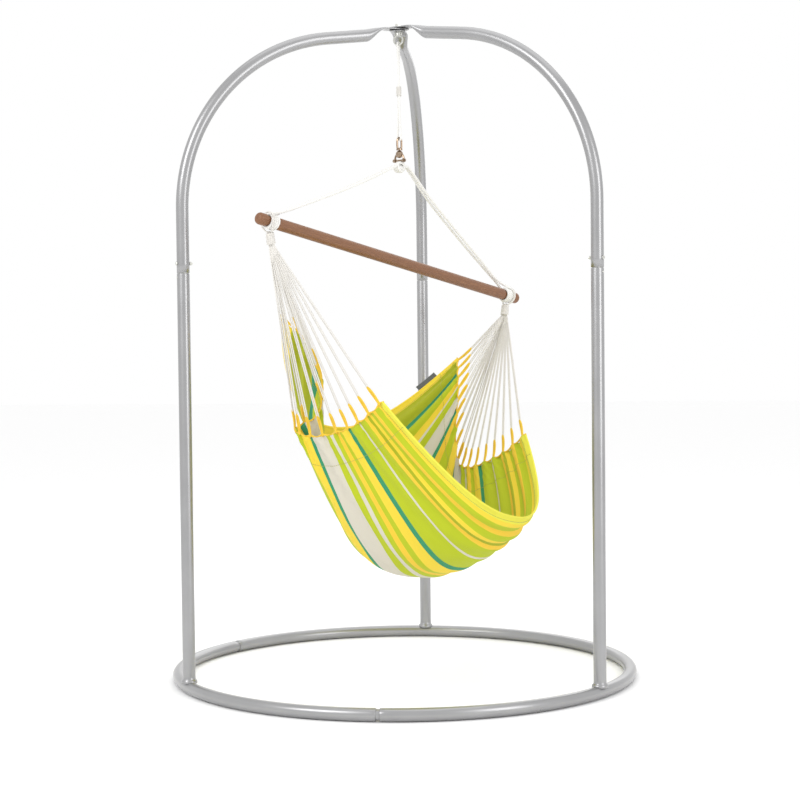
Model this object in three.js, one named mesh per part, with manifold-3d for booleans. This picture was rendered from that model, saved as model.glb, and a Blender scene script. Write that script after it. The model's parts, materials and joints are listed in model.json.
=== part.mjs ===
// A hanging hammock chair on a free-standing steel stand.
// Three tube posts rise from a floor ring and arch over to a bolted hub. An eye nut under the hub
// holds a rope sling, a swivel and a rope bridle, and the bridle carries a wooden spreader bar.
// Two fans of cord hang from the ends of the bar and hold a woven striped seat by its edge loops.
// Millimetres, +Z up. The origin is on the floor, at the middle of the ring.

import * as THREE from 'three';
import { mergeGeometries, mergeVertices } from 'three/addons/utils/BufferGeometryUtils.js';
import Module from 'manifold-3d';

const wasm = await Module();
wasm.setup();

// ---------------------------------------------------------------- driving dimensions

const GAP = 0.3; // clearance between pieces that touch

// steel stand
const TUBE_DIAMETER = 35;
const TUBE_WALL = 2;
const TUBE_SIDES = 12;
const RING_RADIUS = 650; // floor ring, to the middle of its tube
const RING_JOINT_GAP = 9; // neck that shows between two ring segments
const SPIGOT_LENGTH = 110;
const SPIGOT_WALL = 2;
const POST_JOINT_GAP = 1.2;
const WELD_BEAD = 4.5;
const ARM_BEND_RADIUS = 490;
const ARM_RISE = THREE.MathUtils.degToRad(7); // slope of an arm above its bend
const HUB_HEIGHT = 1856; // middle of the three stacked tongues
const ARM_HEIGHT = 699; // from the top of a post to the middle of the tongues
const TONGUE_THICKNESS = 4.6;
const TONGUE_START = 100; // distance from the axis where an arm begins to flatten
const TONGUE_FLAT = 45; // distance from the axis where it is flat
const TONGUE_END = 24; // how far a tongue runs past the axis
const TONGUE_WIDENING = 1.3;
const JOINT_BOLT_DIAMETER = 6;
const JOINT_BOLT_ABOVE = 27; // bolt axis above the top of the post
const JOINT_STUD_BELOW = 11; // locking stud below the top of the post

// hub hardware
const HUB_BOLT_DIAMETER = 10;
const HUB_HEAD_HEIGHT = 6.4;
const HUB_HEAD_WIDTH = 16;
const WASHER_THICKNESS = 1.6;
const WASHER_RADIUS = 11;
const EYE_OUTER_DIAMETER = 33;
const EYE_WIRE = 6;
const EYE_BASE_HEIGHT = 6;
const EYE_TURN = THREE.MathUtils.degToRad(-19);

// sling, swivel and knot, which hang on the axis of the stand
const SLING_ROPE = 6;
const SLING_HEIGHT = 266; // eye wire to bail wire
const SLING_TWINE = 16; // diameter of the whipping in the middle of the sling
const BAIL_WIDTH = 24;
const BAIL_WIRE = 6;
const BAIL_HEIGHT = 33; // bail wire to the collar's middle
const BAIL_COLLAR_RADIUS = 9;
const BAIL_COLLAR_HEIGHT = 5;
const BALL_RADIUS = 11;
const RIVET_DIAMETER = 5;
const FORK_SPREAD = 17; // boss middle to the axis
const FORK_DROP = 18; // ball centre to the pin
const FORK_PIN_DIAMETER = 6;
const KNOT_SIZE = new THREE.Vector3(23, 12, 17);
const KNOT_DROP = 13; // pin to the middle of the knot

// chair
const CHAIR_TURN = THREE.MathUtils.degToRad(53.7); // direction of the bar, from +X
const BAR_LENGTH = 1110;
const BAR_DIAMETER = 33;
const BAR_DROP = 662; // from the middle of the tongues to the middle of the bar
const BAR_OFFSET = -15; // the knot has slipped this far along, so the bar hangs tilted
const BAR_TILT = THREE.MathUtils.degToRad(10.75);
const BAR_NECK_DIAMETER = 28;
const BAR_NECK_WIDTH = 38;
const BAR_NECK_FROM_END = 50; // middle of the neck
const BAR_SIDES = 24;
const BRIDLE_ROPE = 8;
const BRIDLE_SPACING = 8.6; // between its two strands at the knot
const SEIZING_RADIUS = 9.5;
const SEIZING_LENGTH = 16;
const WRAP_TURNS = 4;
const WRAP_SIDES = 16;
const GATHER_LENGTH = 50;
const GATHER_TOP_RADIUS = 8;
const GATHER_BOTTOM_RADIUS = 17;
const STRING_DIAMETER = 3;
const STRING_SHRINK = 0.075; // pattern of the strings at the gather, against that at the loops
const LOOP_COUNT = 17;
const LOOP_LENGTH = 60;
const LOOP_DIAMETER = 7;
const EDGE_TAPE_DIAMETER = 8;
const EDGE_TAPE_GAP = 12; // seat edge to the middle of the tape
const CLOTH_THICKNESS = 4;
const CLOTH_ACROSS = 22; // facets from one string edge to the other
const CLOTH_ALONG = 18; // facets from the knee hem to the head hem
const SEAT_SHEAR = 0.19; // the seat follows the tilt of the bar
const TAG_LENGTH = 72;
const TAG_HEIGHT = 20;
const TAG_THICKNESS = 1.6;
const TAG_ACROSS = 0.82; // place along the head hem, from its middle to its end

const LINES_BAR_HEIGHT = 1194; // height of the bar for which the lines below are drawn
// The string edges of the seat, from the knee corner to the head corner, with X away from its middle.
// Both start alike, and the left one then folds further in, because the bar hangs tilted.
const KNEE_EDGE_LINE = [[307, -210, 750], [310, -130, 695], [315, -50, 662], [335, 35, 645]];
const RIGHT_EDGE_LINE = [
  ...KNEE_EDGE_LINE, [350, 90, 665], [325, 75, 760], [320, 60, 850], [345, 80, 925], [385, 115, 985],
];
const LEFT_EDGE_LINE = [
  ...KNEE_EDGE_LINE, [348, 86, 662], [292, 52, 715], [282, 46, 815], [314, 68, 905], [370, 115, 975],
];
// The middle line of the seat, from the knee hem to the head hem.
const MIDDLE_LINE = [
  [25, -395, 485], [0, -340, 405], [-25, -255, 340], [-40, -150, 298], [-35, -35, 286],
  [-30, 90, 330], [-20, 190, 430], [-10, 260, 565], [0, 300, 712],
];
// How full the sag between the edges is: 2 is a parabola, more is rounder.
const FULLNESS = [2.4, 2.3, 2.3, 2.4, 2.4, 2.3, 2.0, 1.85, 2.1];

// ---------------------------------------------------------------- derived dimensions

const TUBE_RADIUS = TUBE_DIAMETER / 2;
const BORE_RADIUS = TUBE_RADIUS - TUBE_WALL;
const SPIGOT_RADIUS = BORE_RADIUS * Math.cos(Math.PI / TUBE_SIDES) - GAP;
const RING_HEIGHT = TUBE_RADIUS; // middle of the ring's tube
const POST_TOP = HUB_HEIGHT - ARM_HEIGHT; // where a post ends and its arm begins
const BAR_HEIGHT = HUB_HEIGHT - BAR_DROP;
const SEAT_LIFT = BAR_HEIGHT - LINES_BAR_HEIGHT;
const TONGUE_STEP = TONGUE_THICKNESS + GAP;
const STACK_TOP = HUB_HEIGHT + TONGUE_STEP + TONGUE_THICKNESS / 2;
const STACK_BOTTOM = HUB_HEIGHT - TONGUE_STEP - TONGUE_THICKNESS / 2;
const EYE_BASE_TOP = STACK_BOTTOM - WASHER_THICKNESS - 2 * GAP;
const EYE_RING_RADIUS = (EYE_OUTER_DIAMETER - EYE_WIRE) / 2;
const EYE_RING_HEIGHT = EYE_BASE_TOP - EYE_BASE_HEIGHT - EYE_RING_RADIUS;
const EYE_WIRE_HEIGHT = EYE_RING_HEIGHT - EYE_RING_RADIUS;
const BAIL_WIRE_HEIGHT = EYE_WIRE_HEIGHT - SLING_HEIGHT;
const COLLAR_HEIGHT = BAIL_WIRE_HEIGHT - BAIL_HEIGHT;
const BALL_HEIGHT = COLLAR_HEIGHT - BAIL_COLLAR_HEIGHT / 2 - BALL_RADIUS - GAP;
const PIN_HEIGHT = BALL_HEIGHT - FORK_DROP;
const KNOT_HEIGHT = PIN_HEIGHT - KNOT_DROP;
const BAR_RADIUS = BAR_DIAMETER / 2;
const NECK_RADIUS = BAR_NECK_DIAMETER / 2;
const WRAP_INNER_RADIUS = (NECK_RADIUS + GAP) / Math.cos(Math.PI / WRAP_SIDES);
const WRAP_OUTER_RADIUS = WRAP_INNER_RADIUS + BRIDLE_ROPE;
const NECK_PLACE = BAR_LENGTH / 2 - BAR_NECK_FROM_END; // along the bar, from its middle

// ---------------------------------------------------------------- finishes

const finish = (color, roughness, metalness) =>
  new THREE.MeshStandardMaterial({ color, roughness, metalness });
const powderCoat = () => finish(0xa9a9ac, 0.42, 0.55);
const zinc = () => finish(0xb9b9b2, 0.3, 0.9);
const stainless = () => finish(0x8a7a6c, 0.22, 0.95);
const rope = () => finish(0xf1efe9, 0.85, 0);
const cotton = () => finish(0xe9e6df, 0.9, 0);
const beech = () => finish(0xb67f5e, 0.55, 0);
const yellowTape = () => finish(0xf2c63a, 0.85, 0);
const stripedCloth = () => finish(0xc8d020, 0.9, 0);
const greyLabel = () => finish(0x4a4c4a, 0.8, 0);

// ---------------------------------------------------------------- geometry helpers

const vec = (x, y, z) => new THREE.Vector3(x, y, z);
const range = (count) => Array.from({ length: count }, (_, index) => index);
const lerp = THREE.MathUtils.lerp;

// A path given by its stations, so that an extrusion steps exactly from one to the next.
class StationPath extends THREE.Curve {
  constructor(stations) {
    super();
    this.stations = stations;
  }

  indexAt(u) {
    return Math.round(u * (this.stations.length - 1));
  }

  getPoint(u) {
    return this.stations[this.indexAt(u)].clone();
  }

  getPointAt(u) {
    return this.getPoint(u);
  }

  getTangent(u) {
    const last = this.stations.length - 1;
    const index = this.indexAt(u);
    const before = this.stations[Math.max(index - 1, 0)];
    const after = this.stations[Math.min(index + 1, last)];
    return after.clone().sub(before).normalize();
  }

  getTangentAt(u) {
    return this.getTangent(u);
  }
}

const polygon = (radius, sides, Kind = THREE.Shape) => {
  const corner = (index) => {
    const angle = (2 * Math.PI * index) / sides;
    return new THREE.Vector2(radius * Math.cos(angle), radius * Math.sin(angle));
  };
  return new Kind(range(sides).map(corner));
};

const tube = (stations, radius, wall, sides = TUBE_SIDES) => {
  const section = polygon(radius, sides);
  if (wall > 0) {
    section.holes.push(polygon(radius - wall, sides, THREE.Path));
  }
  const extrudePath = new StationPath(stations);
  return new THREE.ExtrudeGeometry(section, { steps: stations.length - 1, extrudePath });
};

const cord = (stations, diameter, sides = 8) => tube(stations, diameter / 2, 0, sides);

const rod = (start, end, radius, sides = 16) => cord([start, end], 2 * radius, sides);

// A turned shape about Z, from pairs of radius and height that start and end on the axis.
const turned = (profile, segments = 20) =>
  new THREE.LatheGeometry(profile.map(([r, z]) => new THREE.Vector2(r, z)), segments)
    .rotateX(Math.PI / 2);

const disc = (radius, bottom, top, segments = 20) =>
  turned([[0, bottom], [radius, bottom], [radius, top], [0, top]], segments);

const hexagon = (acrossFlats, bottom, top) =>
  turned([[0, bottom], [acrossFlats / Math.sqrt(3), bottom], [acrossFlats / Math.sqrt(3), top], [0, top]], 6);

const bare = (geometry) => {
  const copy = geometry.clone();
  copy.deleteAttribute('normal');
  copy.deleteAttribute('uv');
  return mergeVertices(copy, 1e-3);
};

const solid = (geometry) => {
  const closed = bare(geometry);
  return new wasm.Manifold(new wasm.Mesh({
    numProp: 3,
    vertProperties: new Float32Array(closed.attributes.position.array),
    triVerts: new Uint32Array(closed.index.array),
  }));
};

const geometryOf = (manifold) => {
  const mesh = manifold.getMesh();
  const geometry = new THREE.BufferGeometry();
  geometry.setAttribute('position', new THREE.BufferAttribute(mesh.vertProperties, 3));
  geometry.setIndex(new THREE.BufferAttribute(mesh.triVerts, 1));
  return geometry;
};

const joined = (...geometries) =>
  geometryOf(geometries.map(solid).reduce((whole, piece) => whole.add(piece)));

const cut = (geometry, ...tools) =>
  geometryOf(tools.map(solid).reduce((whole, tool) => whole.subtract(tool), solid(geometry)));

const model = new THREE.Group();

const addMesh = (parent, name, geometry, material) => {
  const mesh = new THREE.Mesh(geometry, material);
  mesh.name = name;
  parent.add(mesh);
};

// ---------------------------------------------------------------- floor ring

const onRing = (angle, radius = RING_RADIUS, height = RING_HEIGHT) =>
  vec(radius * Math.cos(angle), radius * Math.sin(angle), height);

const ringArc = (from, to, steps) =>
  range(steps + 1).map((step) => onRing(lerp(from, to, step / steps)));

const POSTS = [
  { name: 'back', azimuth: Math.PI / 2, level: -1 },
  { name: 'left', azimuth: (7 * Math.PI) / 6, level: 0 },
  { name: 'right', azimuth: (11 * Math.PI) / 6, level: 1 },
];
const HALF_SEGMENT = Math.PI / 3;
const HALF_JOINT = RING_JOINT_GAP / 2 / RING_RADIUS;
const HALF_SPIGOT = SPIGOT_LENGTH / 2 / RING_RADIUS;
const SEGMENT_STEPS = 12;
const SEGMENT_STEP = (2 * (HALF_SEGMENT - HALF_JOINT)) / SEGMENT_STEPS;

for (const { name, azimuth } of POSTS) {
  const from = azimuth - HALF_SEGMENT + HALF_JOINT;
  const to = azimuth + HALF_SEGMENT - HALF_JOINT;
  const segment = tube(ringArc(from, to, SEGMENT_STEPS), TUBE_RADIUS, TUBE_WALL);
  addMesh(model, `ring_segment_${name}`, segment, powderCoat());

  // The spigot follows the facets of the two segments that it joins.
  const middle = azimuth + HALF_SEGMENT;
  const insideSegment = (side) => onRing(middle + side * HALF_JOINT)
    .lerp(onRing(middle + side * (HALF_JOINT + SEGMENT_STEP)), (HALF_SPIGOT - HALF_JOINT) / SEGMENT_STEP);
  const spigot = tube([
    insideSegment(-1), onRing(middle - HALF_JOINT), onRing(middle + HALF_JOINT), insideSegment(1),
  ], SPIGOT_RADIUS, SPIGOT_WALL);
  addMesh(model, `ring_spigot_after_${name}`, spigot, powderCoat());
}

// ---------------------------------------------------------------- posts and arms

const BEND_STEPS = 9;

// Pieces of one upright are made in the XZ plane, with X away from the stand's axis.
const armPath = (level) => {
  const slope = Math.tan(ARM_RISE);
  const tongue = HUB_HEIGHT + level * TONGUE_STEP;
  const lineAtAxis = tongue - TUBE_RADIUS + TONGUE_THICKNESS / 2 + slope * TONGUE_FLAT;
  const bendMiddleX = RING_RADIUS - ARM_BEND_RADIUS;
  const bendEnd = Math.PI / 2 - ARM_RISE;
  const bendEndX = bendMiddleX + ARM_BEND_RADIUS * Math.cos(bendEnd);
  const bendMiddleZ = lineAtAxis - slope * bendEndX - ARM_BEND_RADIUS * Math.sin(bendEnd);
  const bend = range(BEND_STEPS + 1).map((step) => {
    const angle = (bendEnd * step) / BEND_STEPS;
    return vec(
      bendMiddleX + ARM_BEND_RADIUS * Math.cos(angle),
      0,
      bendMiddleZ + ARM_BEND_RADIUS * Math.sin(angle),
    );
  });
  const straight = [TONGUE_START, 86, 72, 58, TONGUE_FLAT, -TONGUE_END]
    .map((x) => vec(x, 0, lineAtAxis - slope * x));
  return {
    stations: [vec(RING_RADIUS, 0, POST_TOP + POST_JOINT_GAP), ...bend, ...straight],
    tongue,
    heightAt: (x) => lineAtAxis - slope * x,
  };
};

// Presses the end of an arm flat, in line with the top of its tube.
const flattened = (geometry, { tongue, heightAt }) => {
  const place = geometry.attributes.position;
  for (const index of range(place.count)) {
    const x = place.getX(index);
    const y = place.getY(index);
    const z = place.getZ(index);
    if (x < TONGUE_START) {
      const press = THREE.MathUtils.smoothstep(TONGUE_START - x, 0, TONGUE_START - TONGUE_FLAT);
      const above = z - heightAt(x);
      const onSkin = Math.hypot(y, above) > TUBE_RADIUS - TUBE_WALL / 2;
      const half = onSkin ? TONGUE_THICKNESS / 2 : GAP / 2;
      const squeezed = tongue + (above * half) / (onSkin ? TUBE_RADIUS : BORE_RADIUS);
      place.setY(index, y * lerp(1, TONGUE_WIDENING, press));
      place.setZ(index, lerp(z, squeezed, press));
    }
  }
  return geometry;
};

const alongX = (radius, from, to, height, sides = 12) =>
  rod(vec(from, 0, height), vec(to, 0, height), radius, sides);

const CUT_MARGIN = 5; // how far a cutting tool runs past the wall it cuts
const BOLT_END_SHOWING = 9;
const BOLT_HEAD_RADIUS = 5.5;
const BOLT_HEAD_HEIGHT = 4;
const JOINT_NUT_ACROSS_FLATS = 10;
const JOINT_NUT_HEIGHT = 5;
const STUD_LENGTH_INSIDE = 8;
const STUD_SHOWING = 2.3;
const boltHeight = POST_TOP + JOINT_BOLT_ABOVE;
const studHeight = POST_TOP - JOINT_STUD_BELOW;
const outside = RING_RADIUS + TUBE_RADIUS;
const inside = RING_RADIUS - TUBE_RADIUS;

for (const { name, azimuth, level } of POSTS) {
  const upright = new THREE.Group();
  upright.rotation.z = azimuth;
  model.add(upright);

  const postTube = tube(
    [vec(RING_RADIUS, 0, RING_HEIGHT), vec(RING_RADIUS, 0, POST_TOP)], TUBE_RADIUS, TUBE_WALL);
  const beadTop = 2 * TUBE_RADIUS + WELD_BEAD;
  const bead = turned([
    [BORE_RADIUS + 0.5, RING_HEIGHT], [TUBE_RADIUS + WELD_BEAD, RING_HEIGHT],
    [TUBE_RADIUS + WELD_BEAD, beadTop - WELD_BEAD], [TUBE_RADIUS + WELD_BEAD / 2, beadTop - 1],
    [TUBE_RADIUS - 0.5, beadTop + 1], [BORE_RADIUS + 0.5, beadTop + 1], [BORE_RADIUS + 0.5, RING_HEIGHT],
  ], TUBE_SIDES * 2).translate(RING_RADIUS, 0, 0);
  const saddle = tube(ringArc(-SEGMENT_STEP, SEGMENT_STEP, 2), TUBE_RADIUS + GAP, 0);
  const studHole = alongX(JOINT_BOLT_DIAMETER / 2 + GAP, RING_RADIUS, outside + CUT_MARGIN, studHeight);
  addMesh(upright, `post_${name}`, cut(joined(postTube, bead), saddle, studHole), powderCoat());

  const boltHole = alongX(
    JOINT_BOLT_DIAMETER / 2 + GAP, inside - CUT_MARGIN, outside + CUT_MARGIN, boltHeight);
  const sleeve = tube([
    vec(RING_RADIUS, 0, POST_TOP - SPIGOT_LENGTH / 2), vec(RING_RADIUS, 0, POST_TOP + SPIGOT_LENGTH / 2),
  ], SPIGOT_RADIUS, SPIGOT_WALL);
  addMesh(upright, `post_sleeve_${name}`, cut(sleeve, boltHole, studHole), zinc());

  const path = armPath(level);
  const armTube = flattened(tube(path.stations, TUBE_RADIUS, TUBE_WALL), path);
  const hubHole = disc(HUB_BOLT_DIAMETER / 2 + GAP, STACK_BOTTOM - CUT_MARGIN, STACK_TOP + CUT_MARGIN, 16);
  addMesh(upright, `arm_${name}`, cut(armTube, boltHole, hubHole), powderCoat());

  const shank = alongX(JOINT_BOLT_DIAMETER / 2, inside - BOLT_END_SHOWING, outside + 2, boltHeight);
  const head = turned([
    [0, 0], [BOLT_HEAD_RADIUS, 0], [BOLT_HEAD_RADIUS, 1.5], [4, 3.2], [0, BOLT_HEAD_HEIGHT],
  ], 14).rotateY(Math.PI / 2).translate(outside + GAP, 0, boltHeight);
  addMesh(upright, `joint_bolt_${name}`, joined(shank, head), zinc());

  const nutBody = hexagon(JOINT_NUT_ACROSS_FLATS, 0, JOINT_NUT_HEIGHT)
    .rotateY(-Math.PI / 2).translate(inside - GAP, 0, boltHeight);
  const nutHole = alongX(JOINT_BOLT_DIAMETER / 2 + GAP,
    inside - JOINT_NUT_HEIGHT - CUT_MARGIN, inside + CUT_MARGIN, boltHeight);
  addMesh(upright, `joint_nut_${name}`, cut(nutBody, nutHole), zinc());

  const studBody = turned([
    [0, -STUD_LENGTH_INSIDE], [JOINT_BOLT_DIAMETER / 2, -STUD_LENGTH_INSIDE],
    [JOINT_BOLT_DIAMETER / 2, 0.8], [1.6, 2], [0, STUD_SHOWING],
  ], 12).rotateY(Math.PI / 2).translate(outside, 0, studHeight);
  addMesh(upright, `locking_stud_${name}`, studBody, zinc());
}

// ---------------------------------------------------------------- hub

const boltRadius = HUB_BOLT_DIAMETER / 2;
const washer = (bottom) => cut(
  disc(WASHER_RADIUS, bottom, bottom + WASHER_THICKNESS),
  disc(boltRadius + GAP, bottom - 1, bottom + WASHER_THICKNESS + 1, 16),
);
const headBottom = STACK_TOP + WASHER_THICKNESS + 2 * GAP;
addMesh(model, 'hub_washer_top', washer(STACK_TOP + GAP), zinc());
addMesh(model, 'hub_washer_bottom', washer(STACK_BOTTOM - WASHER_THICKNESS - GAP), zinc());
addMesh(model, 'hub_bolt', joined(
  disc(boltRadius, EYE_BASE_TOP - EYE_BASE_HEIGHT + 1, headBottom + 1, 16),
  hexagon(HUB_HEAD_WIDTH, headBottom, headBottom + HUB_HEAD_HEIGHT),
), zinc());

const ringOf = (radius, wire, sides = 8, around = 28) => {
  const torus = new THREE.TorusGeometry(radius, wire / 2, sides, around);
  return torus.rotateX(Math.PI / 2);
};
const eyeNut = cut(
  joined(
    disc(WASHER_RADIUS, EYE_BASE_TOP - EYE_BASE_HEIGHT - 2, EYE_BASE_TOP),
    ringOf(EYE_RING_RADIUS, EYE_WIRE).translate(0, 0, EYE_RING_HEIGHT),
  ),
  disc(boltRadius + GAP, EYE_BASE_TOP - EYE_BASE_HEIGHT + 1 - GAP, EYE_BASE_TOP + 1, 16),
).rotateZ(EYE_TURN);
addMesh(model, 'eye_nut', eyeNut, zinc());

// ---------------------------------------------------------------- rope sling

// One rope goes over the eye's wire and under the bail's wire, and its two strands lie together
// between them. They twist from the eye's direction to the bail's, and a whipping holds them.
const slingRadius = SLING_ROPE / 2;
const bightAtEye = EYE_WIRE / 2 + slingRadius + GAP;
const bightAtBail = BAIL_WIRE / 2 + slingRadius + 2 * GAP;
const slingTop = EYE_WIRE_HEIGHT;
const slingBottom = BAIL_WIRE_HEIGHT;
const strandSpread = (share) => {
  const nearEnd = Math.min(share, 1 - share);
  const bight = share < 0.5 ? bightAtEye : bightAtBail;
  const closed = slingRadius + GAP;
  return lerp(bight, closed, THREE.MathUtils.smoothstep(nearEnd, 0, 0.25));
};
// share runs from the eye, 0, to the bail, 1; side is 1 or -1 for the two strands
const strandPoint = (share, side) => {
  const angle = lerp(EYE_TURN, CHAIR_TURN, share) + Math.PI / 2;
  const spread = side * strandSpread(share);
  return vec(spread * Math.cos(angle), spread * Math.sin(angle), lerp(slingTop, slingBottom, share));
};
const bightPoints = (centre, radius, turn, up) => [1, 2, 3, 4, 5].map((step) => {
  const angle = (Math.PI * step) / 6;
  const reach = radius * Math.cos(angle) * up;
  const direction = turn + Math.PI / 2;
  return vec(reach * Math.cos(direction), reach * Math.sin(direction),
    centre + up * radius * Math.sin(angle));
});
const STRAND_STEPS = 12;
const down = (side, from, to) => range(to - from + 1)
  .map((step) => strandPoint((from + step) / STRAND_STEPS, side));
const slingPath = [
  ...down(1, 0, STRAND_STEPS / 2).reverse(),
  ...bightPoints(slingTop, bightAtEye, EYE_TURN, 1),
  ...down(-1, 0, STRAND_STEPS),
  ...bightPoints(slingBottom, bightAtBail, CHAIR_TURN, -1),
  ...down(1, STRAND_STEPS / 2, STRAND_STEPS).reverse(),
];
const slingMiddle = (slingTop + slingBottom) / 2;
const slingHalf = Math.floor(slingPath.length / 2);
const whipping = disc(SLING_TWINE / 2, slingMiddle - 14, slingMiddle + 14, 14);
addMesh(model, 'suspension_sling', joined(
  cord(slingPath.slice(0, slingHalf + 1), SLING_ROPE),
  whipping,
  cord(slingPath.slice(slingHalf - 1), SLING_ROPE),
), rope());

// ---------------------------------------------------------------- swivel, made along the chair's X axis

const chair = new THREE.Group();
chair.rotation.z = CHAIR_TURN;
model.add(chair);

const bailHalf = (BAIL_WIDTH - BAIL_WIRE) / 2;
const bailPath = [
  vec(4, 0, COLLAR_HEIGHT), vec(bailHalf - 1, 0, COLLAR_HEIGHT + 4),
  vec(bailHalf, 0, COLLAR_HEIGHT + 10), vec(bailHalf, 0, BAIL_WIRE_HEIGHT - bailHalf),
  ...[1, 2, 3, 4, 5].map((step) => {
    const angle = (Math.PI * step) / 6;
    return vec(bailHalf * Math.cos(angle), 0, BAIL_WIRE_HEIGHT - bailHalf + bailHalf * Math.sin(angle));
  }),
  vec(-bailHalf, 0, BAIL_WIRE_HEIGHT - bailHalf), vec(-bailHalf, 0, COLLAR_HEIGHT + 10),
  vec(1 - bailHalf, 0, COLLAR_HEIGHT + 4), vec(-4, 0, COLLAR_HEIGHT),
];
const collarBottom = COLLAR_HEIGHT - BAIL_COLLAR_HEIGHT / 2;
const collarTop = COLLAR_HEIGHT + BAIL_COLLAR_HEIGHT / 2;
const rivetRadius = RIVET_DIAMETER / 2;
addMesh(chair, 'swivel_bail', cut(
  joined(disc(BAIL_COLLAR_RADIUS, collarBottom, collarTop), cord(bailPath, BAIL_WIRE)),
  disc(rivetRadius + GAP, collarBottom - 5, collarTop + 1, 14),
  disc(4.6, collarTop, collarTop + 6, 14),
), stainless());
addMesh(chair, 'swivel_rivet', turned([
  [0, BALL_HEIGHT], [rivetRadius, BALL_HEIGHT], [rivetRadius, collarTop + GAP],
  [4.2, collarTop + GAP], [3.4, collarTop + 2.4], [0, collarTop + 3.4],
], 14), stainless());

const pinRod = (radius, from, to, height, sides = 14) =>
  rod(vec(0, from, height), vec(0, to, height), radius, sides);
const forkLeg = (side) => joined(
  cord([
    vec(0, side * 6, BALL_HEIGHT), vec(0, side * (FORK_SPREAD - 3), BALL_HEIGHT - 4),
    vec(0, side * FORK_SPREAD, PIN_HEIGHT + 6), vec(0, side * FORK_SPREAD, PIN_HEIGHT),
  ], 6),
  pinRod(5.5, side * (FORK_SPREAD - 3), side * (FORK_SPREAD + 3), PIN_HEIGHT),
);
const ball = new THREE.SphereGeometry(BALL_RADIUS, 16, 10).rotateX(Math.PI / 2).translate(0, 0, BALL_HEIGHT);
addMesh(chair, 'swivel_fork', cut(
  joined(ball, forkLeg(1), forkLeg(-1)),
  disc(rivetRadius + GAP, BALL_HEIGHT - GAP, BALL_HEIGHT + BALL_RADIUS + 1, 14),
  pinRod(FORK_PIN_DIAMETER / 2 + GAP, -40, 40, PIN_HEIGHT),
), stainless());
const pinEnd = FORK_SPREAD + 3;
addMesh(chair, 'fork_pin', joined(
  pinRod(FORK_PIN_DIAMETER / 2, -pinEnd - 3, pinEnd + 2, PIN_HEIGHT),
  pinRod(4.6, pinEnd + GAP, pinEnd + 3, PIN_HEIGHT),
), stainless());

// ---------------------------------------------------------------- knot, bridle and spreader bar

const knotBody = new THREE.SphereGeometry(1, 20, 14).rotateX(Math.PI / 2)
  .scale(KNOT_SIZE.x, KNOT_SIZE.y, KNOT_SIZE.z).translate(0, 0, KNOT_HEIGHT);
addMesh(chair, 'apex_knot', cut(
  knotBody,
  pinRod(FORK_PIN_DIAMETER / 2 + GAP, -40, 40, PIN_HEIGHT),
  pinRod(3, -40, 40, KNOT_HEIGHT - 6, 10),
), rope());

// The bar is made along X about its own middle, and then tilted and lifted into place.
const alongBar = (geometry) => geometry.clone().rotateY(BAR_TILT).translate(BAR_OFFSET, 0, BAR_HEIGHT);
const barPoint = (along, away = 0, up = 0) =>
  vec(along, away, up).applyAxisAngle(vec(0, 1, 0), BAR_TILT).add(vec(BAR_OFFSET, 0, BAR_HEIGHT));

const halfBar = BAR_LENGTH / 2;
const neckInner = NECK_PLACE - BAR_NECK_WIDTH / 2;
const neckOuter = NECK_PLACE + BAR_NECK_WIDTH / 2;
const halfProfile = [
  [BAR_RADIUS, neckInner - 3], [NECK_RADIUS, neckInner], [NECK_RADIUS, neckOuter],
  [BAR_RADIUS, neckOuter + 3], [BAR_RADIUS, halfBar - 11], [BAR_RADIUS * 0.93, halfBar - 6],
  [BAR_RADIUS * 0.7, halfBar - 2], [BAR_RADIUS * 0.35, halfBar - 0.4], [0, halfBar],
];
const barProfile = [...halfProfile.map(([r, z]) => [r, -z]).reverse(), ...halfProfile];
addMesh(chair, 'spreader_bar', alongBar(turned(barProfile, BAR_SIDES).rotateY(Math.PI / 2)), beech());

// Rope turns round a neck of the bar, as one sleeve with a ridge for each turn.
const wrapProfile = () => {
  const inner = WRAP_INNER_RADIUS;
  const pitch = (BAR_NECK_WIDTH - 4) / WRAP_TURNS;
  const start = -(BAR_NECK_WIDTH - 4) / 2;
  const ridges = range(WRAP_TURNS * 4 + 1).map((step) => {
    const rise = Math.sin((Math.PI * (step % 4)) / 4);
    return [inner + BRIDLE_ROPE * (0.55 + 0.45 * rise), start + (pitch * step) / 4];
  });
  return [[inner, start], ...ridges, [inner, -start], [inner, start]];
};

const SIDES = [{ name: 'left', sign: -1 }, { name: 'right', sign: 1 }];

for (const { name, sign } of SIDES) {
  const place = sign * NECK_PLACE;
  const wrap = turned(wrapProfile(), WRAP_SIDES).rotateY(Math.PI / 2).translate(place, 0, 0);
  addMesh(chair, `bar_wrap_${name}`, alongBar(wrap), rope());

  // Two strands run from the knot and are seized together just above the wrap.
  const low = barPoint(place, 0, WRAP_OUTER_RADIUS + SEIZING_RADIUS + 1);
  const high = vec(sign * (KNOT_SIZE.x + 2), 0, KNOT_HEIGHT);
  const strand = (side) => cord(range(7).map((step) => {
    const share = step / 6;
    const bow = Math.sin(Math.PI * share) * 4;
    const spread = side * (lerp(2, BRIDLE_SPACING / 2, Math.min(4 * share, 1)) + bow / 2);
    return low.clone().lerp(high, share).add(vec(0, spread, -bow));
  }), BRIDLE_ROPE);
  const upwards = high.clone().sub(low).normalize();
  const seizing = rod(low.clone().addScaledVector(upwards, -2),
    low.clone().addScaledVector(upwards, SEIZING_LENGTH), SEIZING_RADIUS, 12);
  addMesh(chair, `bridle_rope_${name}`, joined(strand(1), seizing, strand(-1)), rope());
}

// ---------------------------------------------------------------- seat surface

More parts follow.
